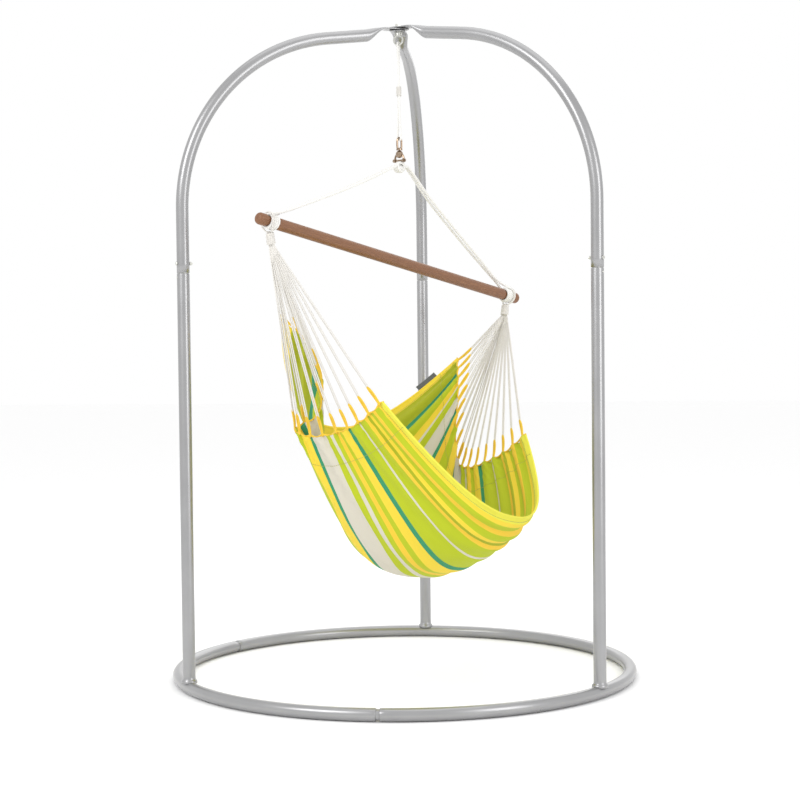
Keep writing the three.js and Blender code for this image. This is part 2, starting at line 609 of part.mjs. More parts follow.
const alongLine = (line, share) => {
  const place = THREE.MathUtils.clamp(share, 0, 1) * (line.length - 1);
  const index = Math.min(Math.floor(place), line.length - 2);
  const part = place - index;
  const first = line[index];
  const second = line[index + 1];
  const before = index > 0 ? line[index - 1] : first.map((value, axis) => 2 * value - second[axis]);
  const after = index < line.length - 2
    ? line[index + 2] : second.map((value, axis) => 2 * value - first[axis]);
  return first.map((value, axis) => {
    const next = second[axis];
    const slope = next - before[axis];
    const bend = 2 * before[axis] - 5 * value + 4 * next - after[axis];
    const turn = 3 * value - before[axis] - 3 * next + after[axis];
    return value + 0.5 * part * (slope + part * (bend + part * turn));
  });
};

// across runs from -1, the left string edge, to 1; along runs from 0, the knee hem, to 1
const seatPoint = (across, along) => {
  const edgeLine = across < 0 ? LEFT_EDGE_LINE : RIGHT_EDGE_LINE;
  const [edgeX, edgeY, edgeZ] = alongLine(edgeLine, along);
  const [middleX, middleY, middleZ] = alongLine(MIDDLE_LINE, along);
  const [fullness] = alongLine(FULLNESS.map((value) => [value]), along);
  const sag = 1 - Math.abs(across) ** fullness;
  const x = edgeX * across + middleX * sag;
  const z = lerp(edgeZ, middleZ, sag) - SEAT_SHEAR * x + SEAT_LIFT;
  return vec(x, lerp(edgeY, middleY, sag), z);
};

const seatNormal = (across, along) => {
  const step = 0.01;
  const before = Math.max(across - step, -1);
  const after = Math.min(across + step, 1);
  const low = Math.max(along - step, 0);
  const high = Math.min(along + step, 1);
  const side = seatPoint(after, along).sub(seatPoint(before, along));
  const length = seatPoint(across, high).sub(seatPoint(across, low));
  return side.cross(length).normalize();
};

// Two faces of the cloth, which meet in its four edges.
const clothFace = (offset) => {
  const face = new THREE.PlaneGeometry(2, 1, CLOTH_ACROSS, CLOTH_ALONG);
  const place = face.attributes.position;
  for (const index of range(place.count)) {
    const across = place.getX(index);
    const along = place.getY(index) + 0.5;
    const fromEdge = Math.min((1 - Math.abs(across)) * CLOTH_ACROSS / 2, along * CLOTH_ALONG,
      (1 - along) * CLOTH_ALONG, 1);
    const point = seatPoint(across, along)
      .addScaledVector(seatNormal(across, along), offset * Math.max(fromEdge, 0));
    place.setXYZ(index, point.x, point.y, point.z);
  }
  if (offset < 0) {
    face.index.array.reverse();
  }
  return face;
};
const cloth = bare(mergeGeometries([clothFace(CLOTH_THICKNESS / 2), clothFace(-CLOTH_THICKNESS / 2)]));
addMesh(chair, 'seat_cloth', cloth, stripedCloth());

// ---------------------------------------------------------------- gathers, strings and edge loops

// The tapered lower half of a gather, which takes in the ends of its strings.
const cone = (top, bottom) => {
  const length = top.distanceTo(bottom);
  const shape = turned([
    [0, 0], [GATHER_BOTTOM_RADIUS, 0], [GATHER_TOP_RADIUS - 1, length * 0.8], [0, length * 0.8],
  ], 14);
  const turn = new THREE.Quaternion().setFromUnitVectors(vec(0, 0, 1), top.clone().sub(bottom).normalize());
  return shape.applyQuaternion(turn).translate(bottom.x, bottom.y, bottom.z);
};

for (const { name, sign } of SIDES) {
  const gatherTop = barPoint(sign * NECK_PLACE, 0, -(WRAP_OUTER_RADIUS + 4));
  const gatherBottom = gatherTop.clone().add(vec(-sign * 8, 0, -GATHER_LENGTH));

  const inward = (along, distance) => {
    const edge = seatPoint(sign, along);
    return edge.addScaledVector(gatherBottom.clone().sub(edge).normalize(), distance);
  };
  const tapeRadius = EDGE_TAPE_DIAMETER / 2;
  const tape = cord(range(CLOTH_ALONG + 1).map((step) => inward(step / CLOTH_ALONG, EDGE_TAPE_GAP)),
    EDGE_TAPE_DIAMETER, 6);
  const alongOf = (index) => lerp(0.02, 0.98, index / (LOOP_COUNT - 1));
  const loops = range(LOOP_COUNT).map((index) => rod(
    inward(alongOf(index), EDGE_TAPE_GAP + tapeRadius / 2), inward(alongOf(index), LOOP_LENGTH),
    LOOP_DIAMETER / 2, 6,
  ));
  addMesh(chair, `edge_loops_${name}`, joined(tape, ...loops), yellowTape());

  const loopTops = range(LOOP_COUNT).map((index) => inward(alongOf(index), LOOP_LENGTH + GAP));
  const middle = loopTops.reduce((sum, point) => sum.add(point), vec(0, 0, 0)).divideScalar(LOOP_COUNT);
  const strings = loopTops.map((top) => {
    const start = gatherBottom.clone().addScaledVector(top.clone().sub(middle), STRING_SHRINK);
    start.z = gatherBottom.z + 4;
    return rod(start, top, STRING_DIAMETER / 2, 6);
  });
  addMesh(chair, `strings_${name}`, joined(
    rod(gatherTop, gatherTop.clone().lerp(gatherBottom, 0.5), GATHER_TOP_RADIUS, 12),
    cone(gatherTop, gatherBottom),
    ...strings,
  ), cotton());
}

// ---------------------------------------------------------------- blank sewn label on the head hem

const tagHere = seatPoint(TAG_ACROSS, 1);
const hemDirection = seatPoint(TAG_ACROSS + 0.05, 1).sub(seatPoint(TAG_ACROSS - 0.05, 1)).normalize();
const outOfSeat = seatNormal(TAG_ACROSS, 1);
const upFromHem = hemDirection.clone().cross(outOfSeat).normalize();
if (upFromHem.z < 0) {
  upFromHem.negate();
}
const tagFrame = new THREE.Matrix4().makeBasis(hemDirection, upFromHem,
  hemDirection.clone().cross(upFromHem));
tagFrame.setPosition(tagHere.addScaledVector(upFromHem, TAG_HEIGHT / 2 + 2));
const tag = new THREE.BoxGeometry(TAG_LENGTH, TAG_HEIGHT, TAG_THICKNESS).applyMatrix4(tagFrame);
addMesh(chair, 'blank_label', tag, greyLabel());

export default model;
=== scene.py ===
# %% [markdown]
# A hammock chair hangs by cords and a wooden bar from an arched steel stand. The frame from CAD
# holds every size and joint, so this lesson loads it first. Everything below is in metres, in the
# frame of the CAD.

# %% Load the frame
import json
import math

import bpy
import numpy as np
from mathutils import Matrix, Vector


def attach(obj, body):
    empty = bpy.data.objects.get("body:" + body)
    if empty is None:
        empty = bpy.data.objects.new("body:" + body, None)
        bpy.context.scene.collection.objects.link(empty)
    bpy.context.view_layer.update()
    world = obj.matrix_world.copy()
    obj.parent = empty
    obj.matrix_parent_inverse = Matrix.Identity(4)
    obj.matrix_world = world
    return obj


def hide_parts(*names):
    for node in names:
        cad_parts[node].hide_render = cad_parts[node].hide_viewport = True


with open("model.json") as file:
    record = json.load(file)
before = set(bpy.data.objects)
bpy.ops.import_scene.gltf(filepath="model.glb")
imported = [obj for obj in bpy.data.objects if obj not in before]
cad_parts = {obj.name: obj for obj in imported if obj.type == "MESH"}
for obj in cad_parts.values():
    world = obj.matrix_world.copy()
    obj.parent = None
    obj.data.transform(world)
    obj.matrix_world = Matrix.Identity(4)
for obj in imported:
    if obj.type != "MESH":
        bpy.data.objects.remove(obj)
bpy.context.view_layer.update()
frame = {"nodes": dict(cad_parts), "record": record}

# %% [markdown]
# The camera stands five metres away at chest height, with a long lens, and looks very slightly
# down. It is made from an azimuth, a distance and a height, so its place is easy to read.

# %% Camera
CAMERA_AZIMUTH = 0.1073
CAMERA_DISTANCE = 5.2119
CAMERA_HEIGHT = 0.9903
CAMERA_PITCH = -0.0375
CAMERA_YAW = 0.0011
CAMERA_ROLL = -0.0104
CAMERA_LENS = 81.3


def add_camera():
    heading = CAMERA_AZIMUTH + CAMERA_YAW
    forward = Vector((
        -math.sin(heading) * math.cos(CAMERA_PITCH),
        math.cos(heading) * math.cos(CAMERA_PITCH),
        math.sin(CAMERA_PITCH),
    ))
    right = Vector((math.cos(heading), math.sin(heading), 0))
    up = right.cross(forward)
    level_right = right * math.cos(CAMERA_ROLL) + up * math.sin(CAMERA_ROLL)
    level_up = up * math.cos(CAMERA_ROLL) - right * math.sin(CAMERA_ROLL)
    turn = Matrix((level_right, level_up, -forward)).transposed().to_4x4()
    data = bpy.data.cameras.new("camera")
    data.lens = CAMERA_LENS
    data.sensor_width = 36
    camera = bpy.data.objects.new("camera", data)
    place = Vector((
        CAMERA_DISTANCE * math.sin(CAMERA_AZIMUTH),
        -CAMERA_DISTANCE * math.cos(CAMERA_AZIMUTH),
        CAMERA_HEIGHT,
    ))
    camera.matrix_world = Matrix.Translation(place) @ turn
    bpy.context.scene.collection.objects.link(camera)
    bpy.context.scene.camera = camera
    return camera


print("camera at", [round(x, 2) for x in add_camera().location])

# %% [markdown]
# A finish is a node tree. Shader maths reads best as ordinary expressions, so one small class
# wraps a socket and turns +, -, * and / into Math nodes. Another method adds any other node.

# %% A small language for shader nodes


class Value:
    """A socket that can be used in sums."""

    def __init__(self, tree, socket):
        self.tree = tree
        self.socket = socket

    def sum_with(self, operation, other):
        node = self.tree.nodes.new("ShaderNodeMath")
        node.operation = operation
        for socket, term in zip(node.inputs, (self, other)):
            if isinstance(term, Value):
                self.tree.links.new(term.socket, socket)
            else:
                socket.default_value = term
        return Value(self.tree, node.outputs[0])

    def __add__(self, other):
        return self.sum_with("ADD", other)

    def __sub__(self, other):
        return self.sum_with("SUBTRACT", other)

    def __mul__(self, other):
        return self.sum_with("MULTIPLY", other)

    def __truediv__(self, other):
        return self.sum_with("DIVIDE", other)

    def wave(self):
        """The sine of this value, brought to the range 0 to 1."""
        return self.sum_with("SINE", 0) * 0.5 + 0.5

    def clamped(self):
        node = self.tree.nodes.new("ShaderNodeClamp")
        self.tree.links.new(self.socket, node.inputs[0])
        return Value(self.tree, node.outputs[0])


class Finish:
    """One material, built node by node."""

    def __init__(self, name, color, roughness, metallic=0.0, **constants):
        self.material = bpy.data.materials.new(name)
        self.material.use_nodes = True
        self.tree = self.material.node_tree
        self.shader = self.tree.nodes["Principled BSDF"]
        self.shader.inputs["Base Color"].default_value = (*color, 1)
        self.shader.inputs["Roughness"].default_value = roughness
        self.shader.inputs["Metallic"].default_value = metallic
        for socket, value in constants.items():
            self.shader.inputs[socket.replace("_", " ")].default_value = value
        self.material.diffuse_color = (*color, 1)

    def node(self, kind, **inputs):
        """Adds a node, with a value or a link for each named socket."""
        made = self.tree.nodes.new(kind)
        for name, value in inputs.items():
            socket = next(s for s in made.inputs if s.name == name and s.enabled)
            if isinstance(value, Value):
                self.tree.links.new(value.socket, socket)
            else:
                socket.default_value = value
        return Value(self.tree, made.outputs[0])

    def object_place(self):
        coordinates = self.tree.nodes.new("ShaderNodeTexCoord")
        return Value(self.tree, coordinates.outputs["Object"])

    def uv(self):
        coordinates = self.tree.nodes.new("ShaderNodeUVMap")
        return Value(self.tree, coordinates.outputs[0])

    def uv_parts(self):
        split = self.tree.nodes.new("ShaderNodeSeparateXYZ")
        self.tree.links.new(self.uv().socket, split.inputs[0])
        return Value(self.tree, split.outputs[0]), Value(self.tree, split.outputs[1])

    def noise(self, place, scale, detail, roughness=0.5):
        return self.node(
            "ShaderNodeTexNoise", Vector=place, Scale=scale, Detail=detail, Roughness=roughness
        )

    def stretched(self, place, scale):
        return self.node("ShaderNodeMapping", Vector=place, Scale=scale)

    def mix(self, share, first, second):
        made = self.tree.nodes.new("ShaderNodeMix")
        made.data_type = "RGBA"
        factor, a, b = made.inputs[0], made.inputs[6], made.inputs[7]
        for socket, value in ((factor, share), (a, first), (b, second)):
            if isinstance(value, Value):
                self.tree.links.new(value.socket, socket)
            elif isinstance(value, tuple):
                socket.default_value = (*value, 1)
            else:
                socket.default_value = value
        return Value(self.tree, made.outputs[2])

    def color(self, value):
        self.tree.links.new(value.socket, self.shader.inputs["Base Color"])

    def roughness(self, value):
        self.tree.links.new(value.socket, self.shader.inputs["Roughness"])

    def bump(self, height, distance, strength):
        made = self.tree.nodes.new("ShaderNodeBump")
        made.inputs["Strength"].default_value = strength
        made.inputs["Distance"].default_value = distance
        self.tree.links.new(height.socket, made.inputs["Height"])
        self.tree.links.new(made.outputs[0], self.shader.inputs["Normal"])


print("shader helpers ready")

# %% [markdown]
# The stand is steel tube with a satin silver-grey powder coat. Powder coat has a very fine
# orange-peel surface, so a small noise drives the bump and a larger one the roughness. The
# fixings are zinc plated, and the swivel is polished stainless steel that looks warm.

# %% Metal finishes


def powder_coat():
    finish = Finish("powder_coat", (0.36, 0.36, 0.365), 0.30, 0.80, Coat_Weight=0.12)
    place = finish.object_place()
    peel = finish.noise(place, 900, 2)
    cloudy = finish.noise(place, 9, 3)
    finish.color(finish.mix(cloudy, (0.33, 0.33, 0.335), (0.40, 0.40, 0.405)))
    finish.roughness(cloudy * 0.12 + 0.24)
    finish.bump(peel, 0.00004, 0.2)
    return finish.material


def plated(name, dark, light, roughness):
    finish = Finish(name, light, roughness, 1.0)
    place = finish.object_place()
    spangle = finish.noise(place, 260, 3)
    finish.color(finish.mix(spangle, dark, light))
    finish.roughness(spangle * 0.2 + (roughness - 0.08))
    finish.bump(finish.noise(place, 1400, 2), 0.0001, 0.3)
    return finish.material


POWDER_COAT = powder_coat()
ZINC = plated("zinc_plate", (0.52, 0.52, 0.49), (0.70, 0.70, 0.66), 0.30)
STAINLESS = plated("warm_stainless", (0.22, 0.15, 0.10), (0.46, 0.36, 0.27), 0.18)
print("metals:", POWDER_COAT.name, ZINC.name, STAINLESS.name)

# %% [markdown]
# Ropes and strings carry a UV map in metres, round the rope and along it. Two crossed waves
# on that map make a braid, and one slanting wave makes a twisted cotton string. The same waves
# darken the colour in the grooves between the strands, as painted shade.

# %% Rope finishes


def braided(name, light, dark, strand):
    finish = Finish(name, light, 0.82, Sheen_Weight=0.25)
    around, along = finish.uv_parts()
    pitch = 2 * math.pi / strand
    right_hand = ((around + along) * pitch).wave()
    left_hand = ((around - along) * pitch).wave()
    braid = right_hand * left_hand
    # Painted shade: the colour darkens where the braid is low, in the grooves between the strands.
    finish.color(finish.mix((braid * 1.4 + 0.1).clamped(), dark, light))
    finish.bump(braid, 0.0003, 0.5)
    return finish.material


def twisted(name, light, dark, strand):
    finish = Finish(name, light, 0.86, Sheen_Weight=0.3)
    around, along = finish.uv_parts()
    strands = ((around * 1.4 + along) * (2 * math.pi / strand)).wave()
    fuzz = finish.noise(finish.object_place(), 700, 3)
    # Painted shade in the grooves between the twists, plus random fuzz in the tone of the fibre.
    finish.color(finish.mix((strands * 0.8 + fuzz * 0.35).clamped(), dark, light))
    finish.bump(strands + fuzz * 0.4, 0.0005, 0.8)
    return finish.material


# The second colour of each is the painted shade of its grooves.
WHITE_ROPE = braided("white_rope", (0.88, 0.87, 0.84), (0.74, 0.73, 0.70), 0.0060)
COTTON = twisted("cotton_string", (0.86, 0.84, 0.80), (0.64, 0.61, 0.56), 0.0036)
YELLOW_CORD = twisted("yellow_cord", (0.92, 0.64, 0.03), (0.80, 0.47, 0.018), 0.0032)
THREAD = twisted("seam_thread", (0.42, 0.42, 0.10), (0.25, 0.25, 0.05), 0.0020)
print("ropes:", WHITE_ROPE.name, COTTON.name, YELLOW_CORD.name)

# %% [markdown]
# The bar is a reddish hardwood. Its grain runs along it, so the noise is stretched along the
# bar's own UV map. The slow part gives the bands of the board and the fast part gives the pores.

# %% Wood finish


def hardwood():
    finish = Finish("hardwood", (0.36, 0.17, 0.09), 0.5, Coat_Weight=0.08)
    grain_place = finish.stretched(finish.uv(), (60, 3.5, 1))
    bands = finish.noise(grain_place, 1.0, 5, 0.6)
    pores = finish.noise(finish.stretched(finish.uv(), (900, 22, 1)), 1.0, 3, 0.6)
    base = finish.mix((bands * 2.4 - 0.7).clamped(), (0.28, 0.12, 0.050), (0.56, 0.29, 0.135))
    finish.color(finish.mix((pores * 3 - 1.5).clamped(), (0.20, 0.085, 0.038), base))
    finish.roughness(pores * 0.25 + 0.38)
    finish.bump(pores, 0.0003, 0.4)
    return finish.material


HARDWOOD = hardwood()
print("wood:", HARDWOOD.name)

# %% [markdown]
# The cloth is woven in stripes that run from one side of the chair to the other. They are
# listed from the knee hem to the head hem with their widths, as shares of the cloth's length.
# A constant colour ramp on the UV map holds them, and a fine weave and soft slubs break up
# each colour.

# %% Striped cloth finish
CLOTH_LENGTH = 1.05
CLOTH_WIDTH = 1.10
LIME = (0.47, 0.55, 0.006)
# PAINTED_SHADE_LIME is a darker copy of LIME that paints shade: its stripes stand for lime lying in
# shadow.
PAINTED_SHADE_LIME = (0.38, 0.42, 0.004)
PALE = (0.82, 0.78, 0.07)
AMBER = (0.88, 0.58, 0.035)
GOLD = (0.88, 0.66, 0.040)
BEIGE = (0.66, 0.62, 0.54)
GREEN = (0.002, 0.27, 0.14)
STRIPES = [
    (0.028, PALE), (0.016, GOLD), (0.026, LIME), (0.018, AMBER), (0.022, LIME), (0.016, GOLD),
    (0.012, PAINTED_SHADE_LIME), (0.016, AMBER), (0.052, LIME), (0.005, BEIGE), (0.071, LIME),
    (0.022, GREEN), (0.038, GOLD), (0.020, LIME), (0.020, AMBER), (0.018, LIME), (0.016, BEIGE),
    (0.026, LIME), (0.082, BEIGE), (0.018, GREEN), (0.054, GOLD), (0.062, LIME), (0.034, AMBER),
    (0.020, GREEN), (0.058, BEIGE), (0.028, LIME), (0.014, BEIGE), (0.028, GOLD), (0.036, LIME),
    (0.023, GREEN), (0.070, PAINTED_SHADE_LIME), (0.031, GOLD),
]


def striped_cloth():
    finish = Finish("striped_cloth", LIME, 0.88, Sheen_Weight=0.04)
    across, along = finish.uv_parts()
    ramp = finish.tree.nodes.new("ShaderNodeValToRGB")
    ramp.color_ramp.interpolation = "CONSTANT"
    total = sum(width for width, _ in STRIPES)
    start = 0
    for index, (width, color) in enumerate(STRIPES):
        stops = ramp.color_ramp.elements
        stop = stops[index] if index < 2 else stops.new(start)
        stop.position = start
        stop.color = (*color, 1)
        start += width / total
    place = finish.object_place()
    wander = finish.noise(place, 24, 2) * 0.003 - 0.0015
    finish.tree.links.new((along / CLOTH_LENGTH + wander).socket, ramp.inputs[0])
    stripes = Value(finish.tree, ramp.outputs[0])
    thread = 2 * math.pi / 0.0016
    weave = (across * thread).wave() * (along * thread).wave()
    slubs = finish.noise(finish.stretched(finish.uv(), (40, 420, 1)), 1.0, 3, 0.6)
    worn = finish.mix((slubs * 1.6 - 0.5).clamped() * 0.10, stripes, (0.74, 0.72, 0.20))
    finish.color(finish.mix(weave * 0.14, worn, (0.22, 0.24, 0.01)))
    finish.roughness(slubs * 0.15 + 0.78)
    finish.bump(weave + slubs * 0.6, 0.0005, 0.6)
    return finish.material


STRIPED_CLOTH = striped_cloth()
print("cloth:", len(STRIPES), "stripes over", CLOTH_LENGTH, "m")


def label_weave():
    finish = Finish("blank_label", (0.07, 0.075, 0.07), 0.75, Sheen_Weight=0.3)
    across, along = finish.uv_parts()
    thread = 2 * math.pi / 0.0009
    ribs = (across * thread).wave() * 0.6 + (along * thread).wave() * 0.4
    # Painted light and shade: the dark grey goes lighter on the raised ribs and darker between
    # them.
    finish.color(finish.mix(ribs, (0.045, 0.05, 0.045), (0.11, 0.115, 0.11)))
    finish.bump(ribs, 0.0003, 0.7)
    return finish.material


LABEL = label_weave()
print("label:", LABEL.name)

# %% [markdown]
# Every tube, rope and string here is a section carried along a path. The section must not spin
# as the path turns, so each frame is the last one, turned as little as possible. The UV map is
# in metres: round the section and along the path.

# %% Tubes along paths


def frames_along(points):
    tangents = np.gradient(points, axis=0)
    tangents /= np.linalg.norm(tangents, axis=1)[:, None]
    helper = np.eye(3)[np.argmin(np.abs(tangents[0]))]
    side = np.cross(tangents[0], helper)
    side /= np.linalg.norm(side)
    sides = [side]
    for tangent in tangents[1:]:
        side = sides[-1] - tangent * np.dot(sides[-1], tangent)
        sides.append(side / np.linalg.norm(side))
    sides = np.array(sides)
    return sides, np.cross(tangents, sides)


def mesh_object(name, vertices, faces, uvs, material):
    mesh = bpy.data.meshes.new(name)
    mesh.from_pydata([tuple(v) for v in vertices], [], faces)
    layer = mesh.uv_layers.new(name="UVMap")
    layer.data.foreach_set("uv", [value for corner in uvs for value in corner])
    mesh.materials.append(material)
    mesh.polygons.foreach_set("use_smooth", [True] * len(mesh.polygons))
    mesh.update()
    made = bpy.data.objects.new(name, mesh)
    bpy.context.scene.collection.objects.link(made)
    return made


def tube_parts(points, radius, sides, closed=False, squash=None):
    """Vertices, faces and corner UVs of a tube. squash may reshape each ring of the section."""
    points = np.array(points, float)
    count = len(points)
    across, up = frames_along(points)
    radii = np.broadcast_to(np.array(radius, float), (count,))[:, None, None]
    angles = (np.arange(sides) * 2 * math.pi / sides)[None, :, None]
    rings = (
        points[:, None]
        + across[:, None] * (np.cos(angles) * radii)
        + up[:, None] * (np.sin(angles) * radii)
    )
    if squash is not None:
        rings = squash(rings, points)
    along = np.concatenate([[0], np.cumsum(np.linalg.norm(np.diff(points, axis=0), axis=1))])
    vertices = list(rings.reshape(-1, 3))
    faces = []
    uvs = []
    girth = 2 * math.pi * float(radii.max()) / sides
    last = count if closed else count - 1
    for row in range(last):
        after = (row + 1) % count
        v0 = along[row]
        v1 = along[row + 1] if row + 1 < count else along[row] + (along[row] - along[row - 1])
        for k in range(sides):
            right = (k + 1) % sides
            here, there = row * sides, after * sides
            faces.append((here + k, here + right, there + right, there + k))
            u0, u1 = k * girth, (k + 1) * girth
            uvs += [(u0, v0), (u1, v0), (u1, v1), (u0, v1)]
    if not closed:
        faces.append(tuple(reversed(range(sides))))
        faces.append(tuple((count - 1) * sides + k for k in range(sides)))
        uvs += [(0, 0)] * (2 * sides)
    return vertices, faces, uvs


def joined_parts(parts):
    vertices, faces, uvs = [], [], []
    for part_vertices, part_faces, part_uvs in parts:
        offset = len(vertices)
        vertices += part_vertices
        faces += [tuple(index + offset for index in face) for face in part_faces]
        uvs += part_uvs
    return vertices, faces, uvs


def grid_faces(rows, columns):
    """The corners of every quad in a grid of points, quad by quad, as (row, column)."""
    return [
        [(row, column), (row, column + 1), (row + 1, column + 1), (row + 1, column)]
        for row in range(rows) for column in range(columns)
    ]


def thicken(piece, thickness):
    modifier = piece.modifiers.new("thickness", "SOLIDIFY")
    modifier.thickness = thickness
    modifier.offset = 0


def tube(name, points, radius, material, sides):
    return mesh_object(name, *tube_parts(points, radius, sides), material)


def smooth_path(points, per_span):
    """A rounded line through a few given points."""
    points = [np.array(p, float) for p in points]
    points = [2 * points[0] - points[1], *points, 2 * points[-1] - points[-2]]
    line = []
    for a, b, c, d in zip(points, points[1:], points[2:], points[3:]):
        for step in range(per_span):
            t = step / per_span
            line.append(0.5 * (
                2 * b + (c - a) * t + (2 * a - 5 * b + 4 * c - d) * t**2
                + (3 * b - a - 3 * c + d) * t**3
            ))
    line.append(points[-2])
    return np.array(line)


def path_length(points):
    return float(np.sum(np.linalg.norm(np.diff(np.array(points), axis=0), axis=1)))


print("tube helper ready")

# %% [markdown]
# The chair hangs turned about the stand's axis. Its pieces are worked out in its own frame,
# with X along the bar, and then turned. These are the sizes of its rig, the same as in CAD.

# %% Sizes of the rig
CHAIR_TURN = math.radians(53.7)
EYE_TURN = math.radians(-19)
EYE_WIRE = 1.8136
BAIL_WIRE = 1.5476
WIRE = 0.006
SLING_ROPE = 0.006
BRIDLE_ROPE = 0.008
KNOT = np.array((0, 0, 1.4641))
KNOT_SIZE = np.array((0.023, 0.012, 0.017))
BAR_LENGTH = 1.110
BAR_RADIUS = 0.0165
NECK_RADIUS = 0.014
NECK_WIDTH = 0.038
NECK_PLACE = BAR_LENGTH / 2 - 0.050
BAR_MIDDLE = np.array((-0.015, 0, 1.194))
BAR_TILT = math.radians(10.75)
GATHER_LENGTH = 0.050
LOOP_COUNT = 17
LOOP_LENGTH = 0.060


def turned_about(points, azimuth):
    cos, sin = math.cos(azimuth), math.sin(azimuth)
    points = np.asarray(points, float)
    x, y = points[..., 0], points[..., 1]
    return np.stack([x * cos - y * sin, x * sin + y * cos, points[..., 2]], -1)


def in_chair(points):
    """From the chair's own frame to the frame of the stand."""
    return turned_about(points, CHAIR_TURN)


def on_bar(along, away=0.0, up=0.0):
    cos, sin = math.cos(BAR_TILT), math.sin(BAR_TILT)
    along, away, up = np.broadcast_arrays(*(np.asarray(v, float) for v in (along, away, up)))
    return np.stack([along * cos + up * sin, away, up * cos - along * sin], -1) + BAR_MIDDLE


bar_ends = on_bar(np.array((-BAR_LENGTH / 2, BAR_LENGTH / 2)))
print("bar ends at heights", [round(float(height), 3) for height in bar_ends[:, 2]])

# %% [markdown]
# The ropes come first, because their routes belong to CAD too. A sling hangs from the eye: one
# rope goes over the eye's wire, down, under the wire of the swivel and up again. It twists on
# the way, because the two wires point in different directions.

# %% Sling rope


def sling_route():
    radius = WIRE / 2 + SLING_ROPE / 2 + 0.0004
    closed = SLING_ROPE / 2 + 0.0003

    def strand(share, side):
        angle = EYE_TURN + (CHAIR_TURN - EYE_TURN) * share + math.pi / 2
        near = min(share, 1 - share) / 0.25
        ease = min(near, 1) ** 2 * (3 - 2 * min(near, 1))
        spread = side * (radius + (closed - radius) * ease)
        height = EYE_WIRE + (BAIL_WIRE - EYE_WIRE) * share
        return (spread * math.cos(angle), spread * math.sin(angle), height)

    def bight(height, turn, side):
        arc = []
        for step in range(1, 8):
            angle = math.pi * step / 8
            reach = radius * math.cos(angle) * side
            direction = turn + math.pi / 2
            arc.append((
                reach * math.cos(direction), reach * math.sin(direction),
                height + side * radius * math.sin(angle),
            ))
        return arc

    steps = 24
    up_first = [strand(step / steps, 1) for step in range(steps // 2, -1, -1)]
    down_second = [strand(step / steps, -1) for step in range(steps + 1)]
    up_last = [strand(step / steps, 1) for step in range(steps, steps // 2, -1)]
    return [
        *up_first, *bight(EYE_WIRE, EYE_TURN, 1), *down_second,
        *bight(BAIL_WIRE, CHAIR_TURN, -1), *up_last,
    ]


sling_points = sling_route()
sling = tube("sling_rope", sling_points, SLING_ROPE / 2, WHITE_ROPE, 12)
WHIPPING_RADIUS = 0.0066
WHIPPING_TURNS = 13
WHIPPING_LENGTH = 0.026
WHIPPING_THREAD = 0.0022
whipping_start = (EYE_WIRE + BAIL_WIRE - WHIPPING_LENGTH) / 2
whipping_line = [
    (
        WHIPPING_RADIUS * math.cos(angle), WHIPPING_RADIUS * math.sin(angle),
        whipping_start + WHIPPING_LENGTH * angle / (2 * math.pi * WHIPPING_TURNS),
    )
    for angle in np.linspace(0, 2 * math.pi * WHIPPING_TURNS, WHIPPING_TURNS * 14)
]
whipping = tube("sling_whipping", whipping_line, WHIPPING_THREAD / 2, COTTON, 6)
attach(sling, "sling")
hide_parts("suspension_sling")
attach(whipping, "sling")
print("sling is", round(path_length(sling_points), 3), "m of rope")

# %% [markdown]
# From the knot, two strands of bridle rope run to each end of the bar. They lie side by side,
# bow apart a little in the middle, and go round the neck of the bar in four turns.

# %% Bridle ropes and their turns on the bar
BRIDLE_SAG = 0.006
STRAND_OFFSET = 0.0046
TURNS_ON_BAR = 4
STEPS_ON_BAR = 56
STRAND_SHARES = (0.25, 0.5, 0.75, 0.93)


def bridle_route(sign):
    """Down one strand, four times round the neck of the bar, and back up the other strand."""
    place = sign * NECK_PLACE
    turn_radius = NECK_RADIUS + BRIDLE_ROPE / 2 + 0.0003
    width = NECK_WIDTH - BRIDLE_ROPE
    high = np.array((sign * (KNOT_SIZE[0] - 0.004), 0, KNOT[2]))
    top = on_bar(place - sign * 0.013, turn_radius * 0.55, turn_radius + 0.004)

    def strand(share, offset):
        sag = BRIDLE_SAG * math.sin(math.pi * share)
        side = offset + math.copysign(sag / 2, offset)
        return high + (top - high) * share + (0, side, -sag)

    first = [high + (0, 0.004, 0.001), high + (sign * 0.02, STRAND_OFFSET, -0.005)]
    first += [strand(share, STRAND_OFFSET) for share in STRAND_SHARES]
    turns = []
    for step in range(STEPS_ON_BAR + 1):
        angle = 2 * math.pi * TURNS_ON_BAR * step / STEPS_ON_BAR + math.pi / 3
        along = place + sign * width * (step / STEPS_ON_BAR - 0.5)
        turns.append(on_bar(along, turn_radius * math.cos(angle), turn_radius * math.sin(angle)))
    last = [on_bar(place + sign * 0.010, -turn_radius * 0.75, turn_radius + 0.003)]
    last += [strand(share, -0.0050) for share in reversed(STRAND_SHARES)]
    last += [high + (sign * 0.02, -STRAND_OFFSET, -0.005), high + (0, -0.004, 0.001)]
    return in_chair(np.array([*smooth_path(first, 5), *turns, *smooth_path(last, 5)]))


for name, sign in (("left", -1), ("right", 1)):
    points = bridle_route(sign)
    bridle = tube(f"bridle_{name}", points, BRIDLE_ROPE / 2 * 0.98, WHITE_ROPE, 12)
    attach(bridle, "chair_frame")
    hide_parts(f"bridle_rope_{name}", f"bar_wrap_{name}")
    print("bridle", name, "is", round(path_length(points), 3), "m of rope")

# %% [markdown]
# The seat is one piece of cloth. Two lines give its shape: its side edge, which the strings
# pull up, and its middle, which sags into a bowl. Between them the cloth follows a power curve.
# Folds are then added on top of this surface: pleats under every loop, a crumpled casing along
# the edge, and long soft folds that run with the stripes.

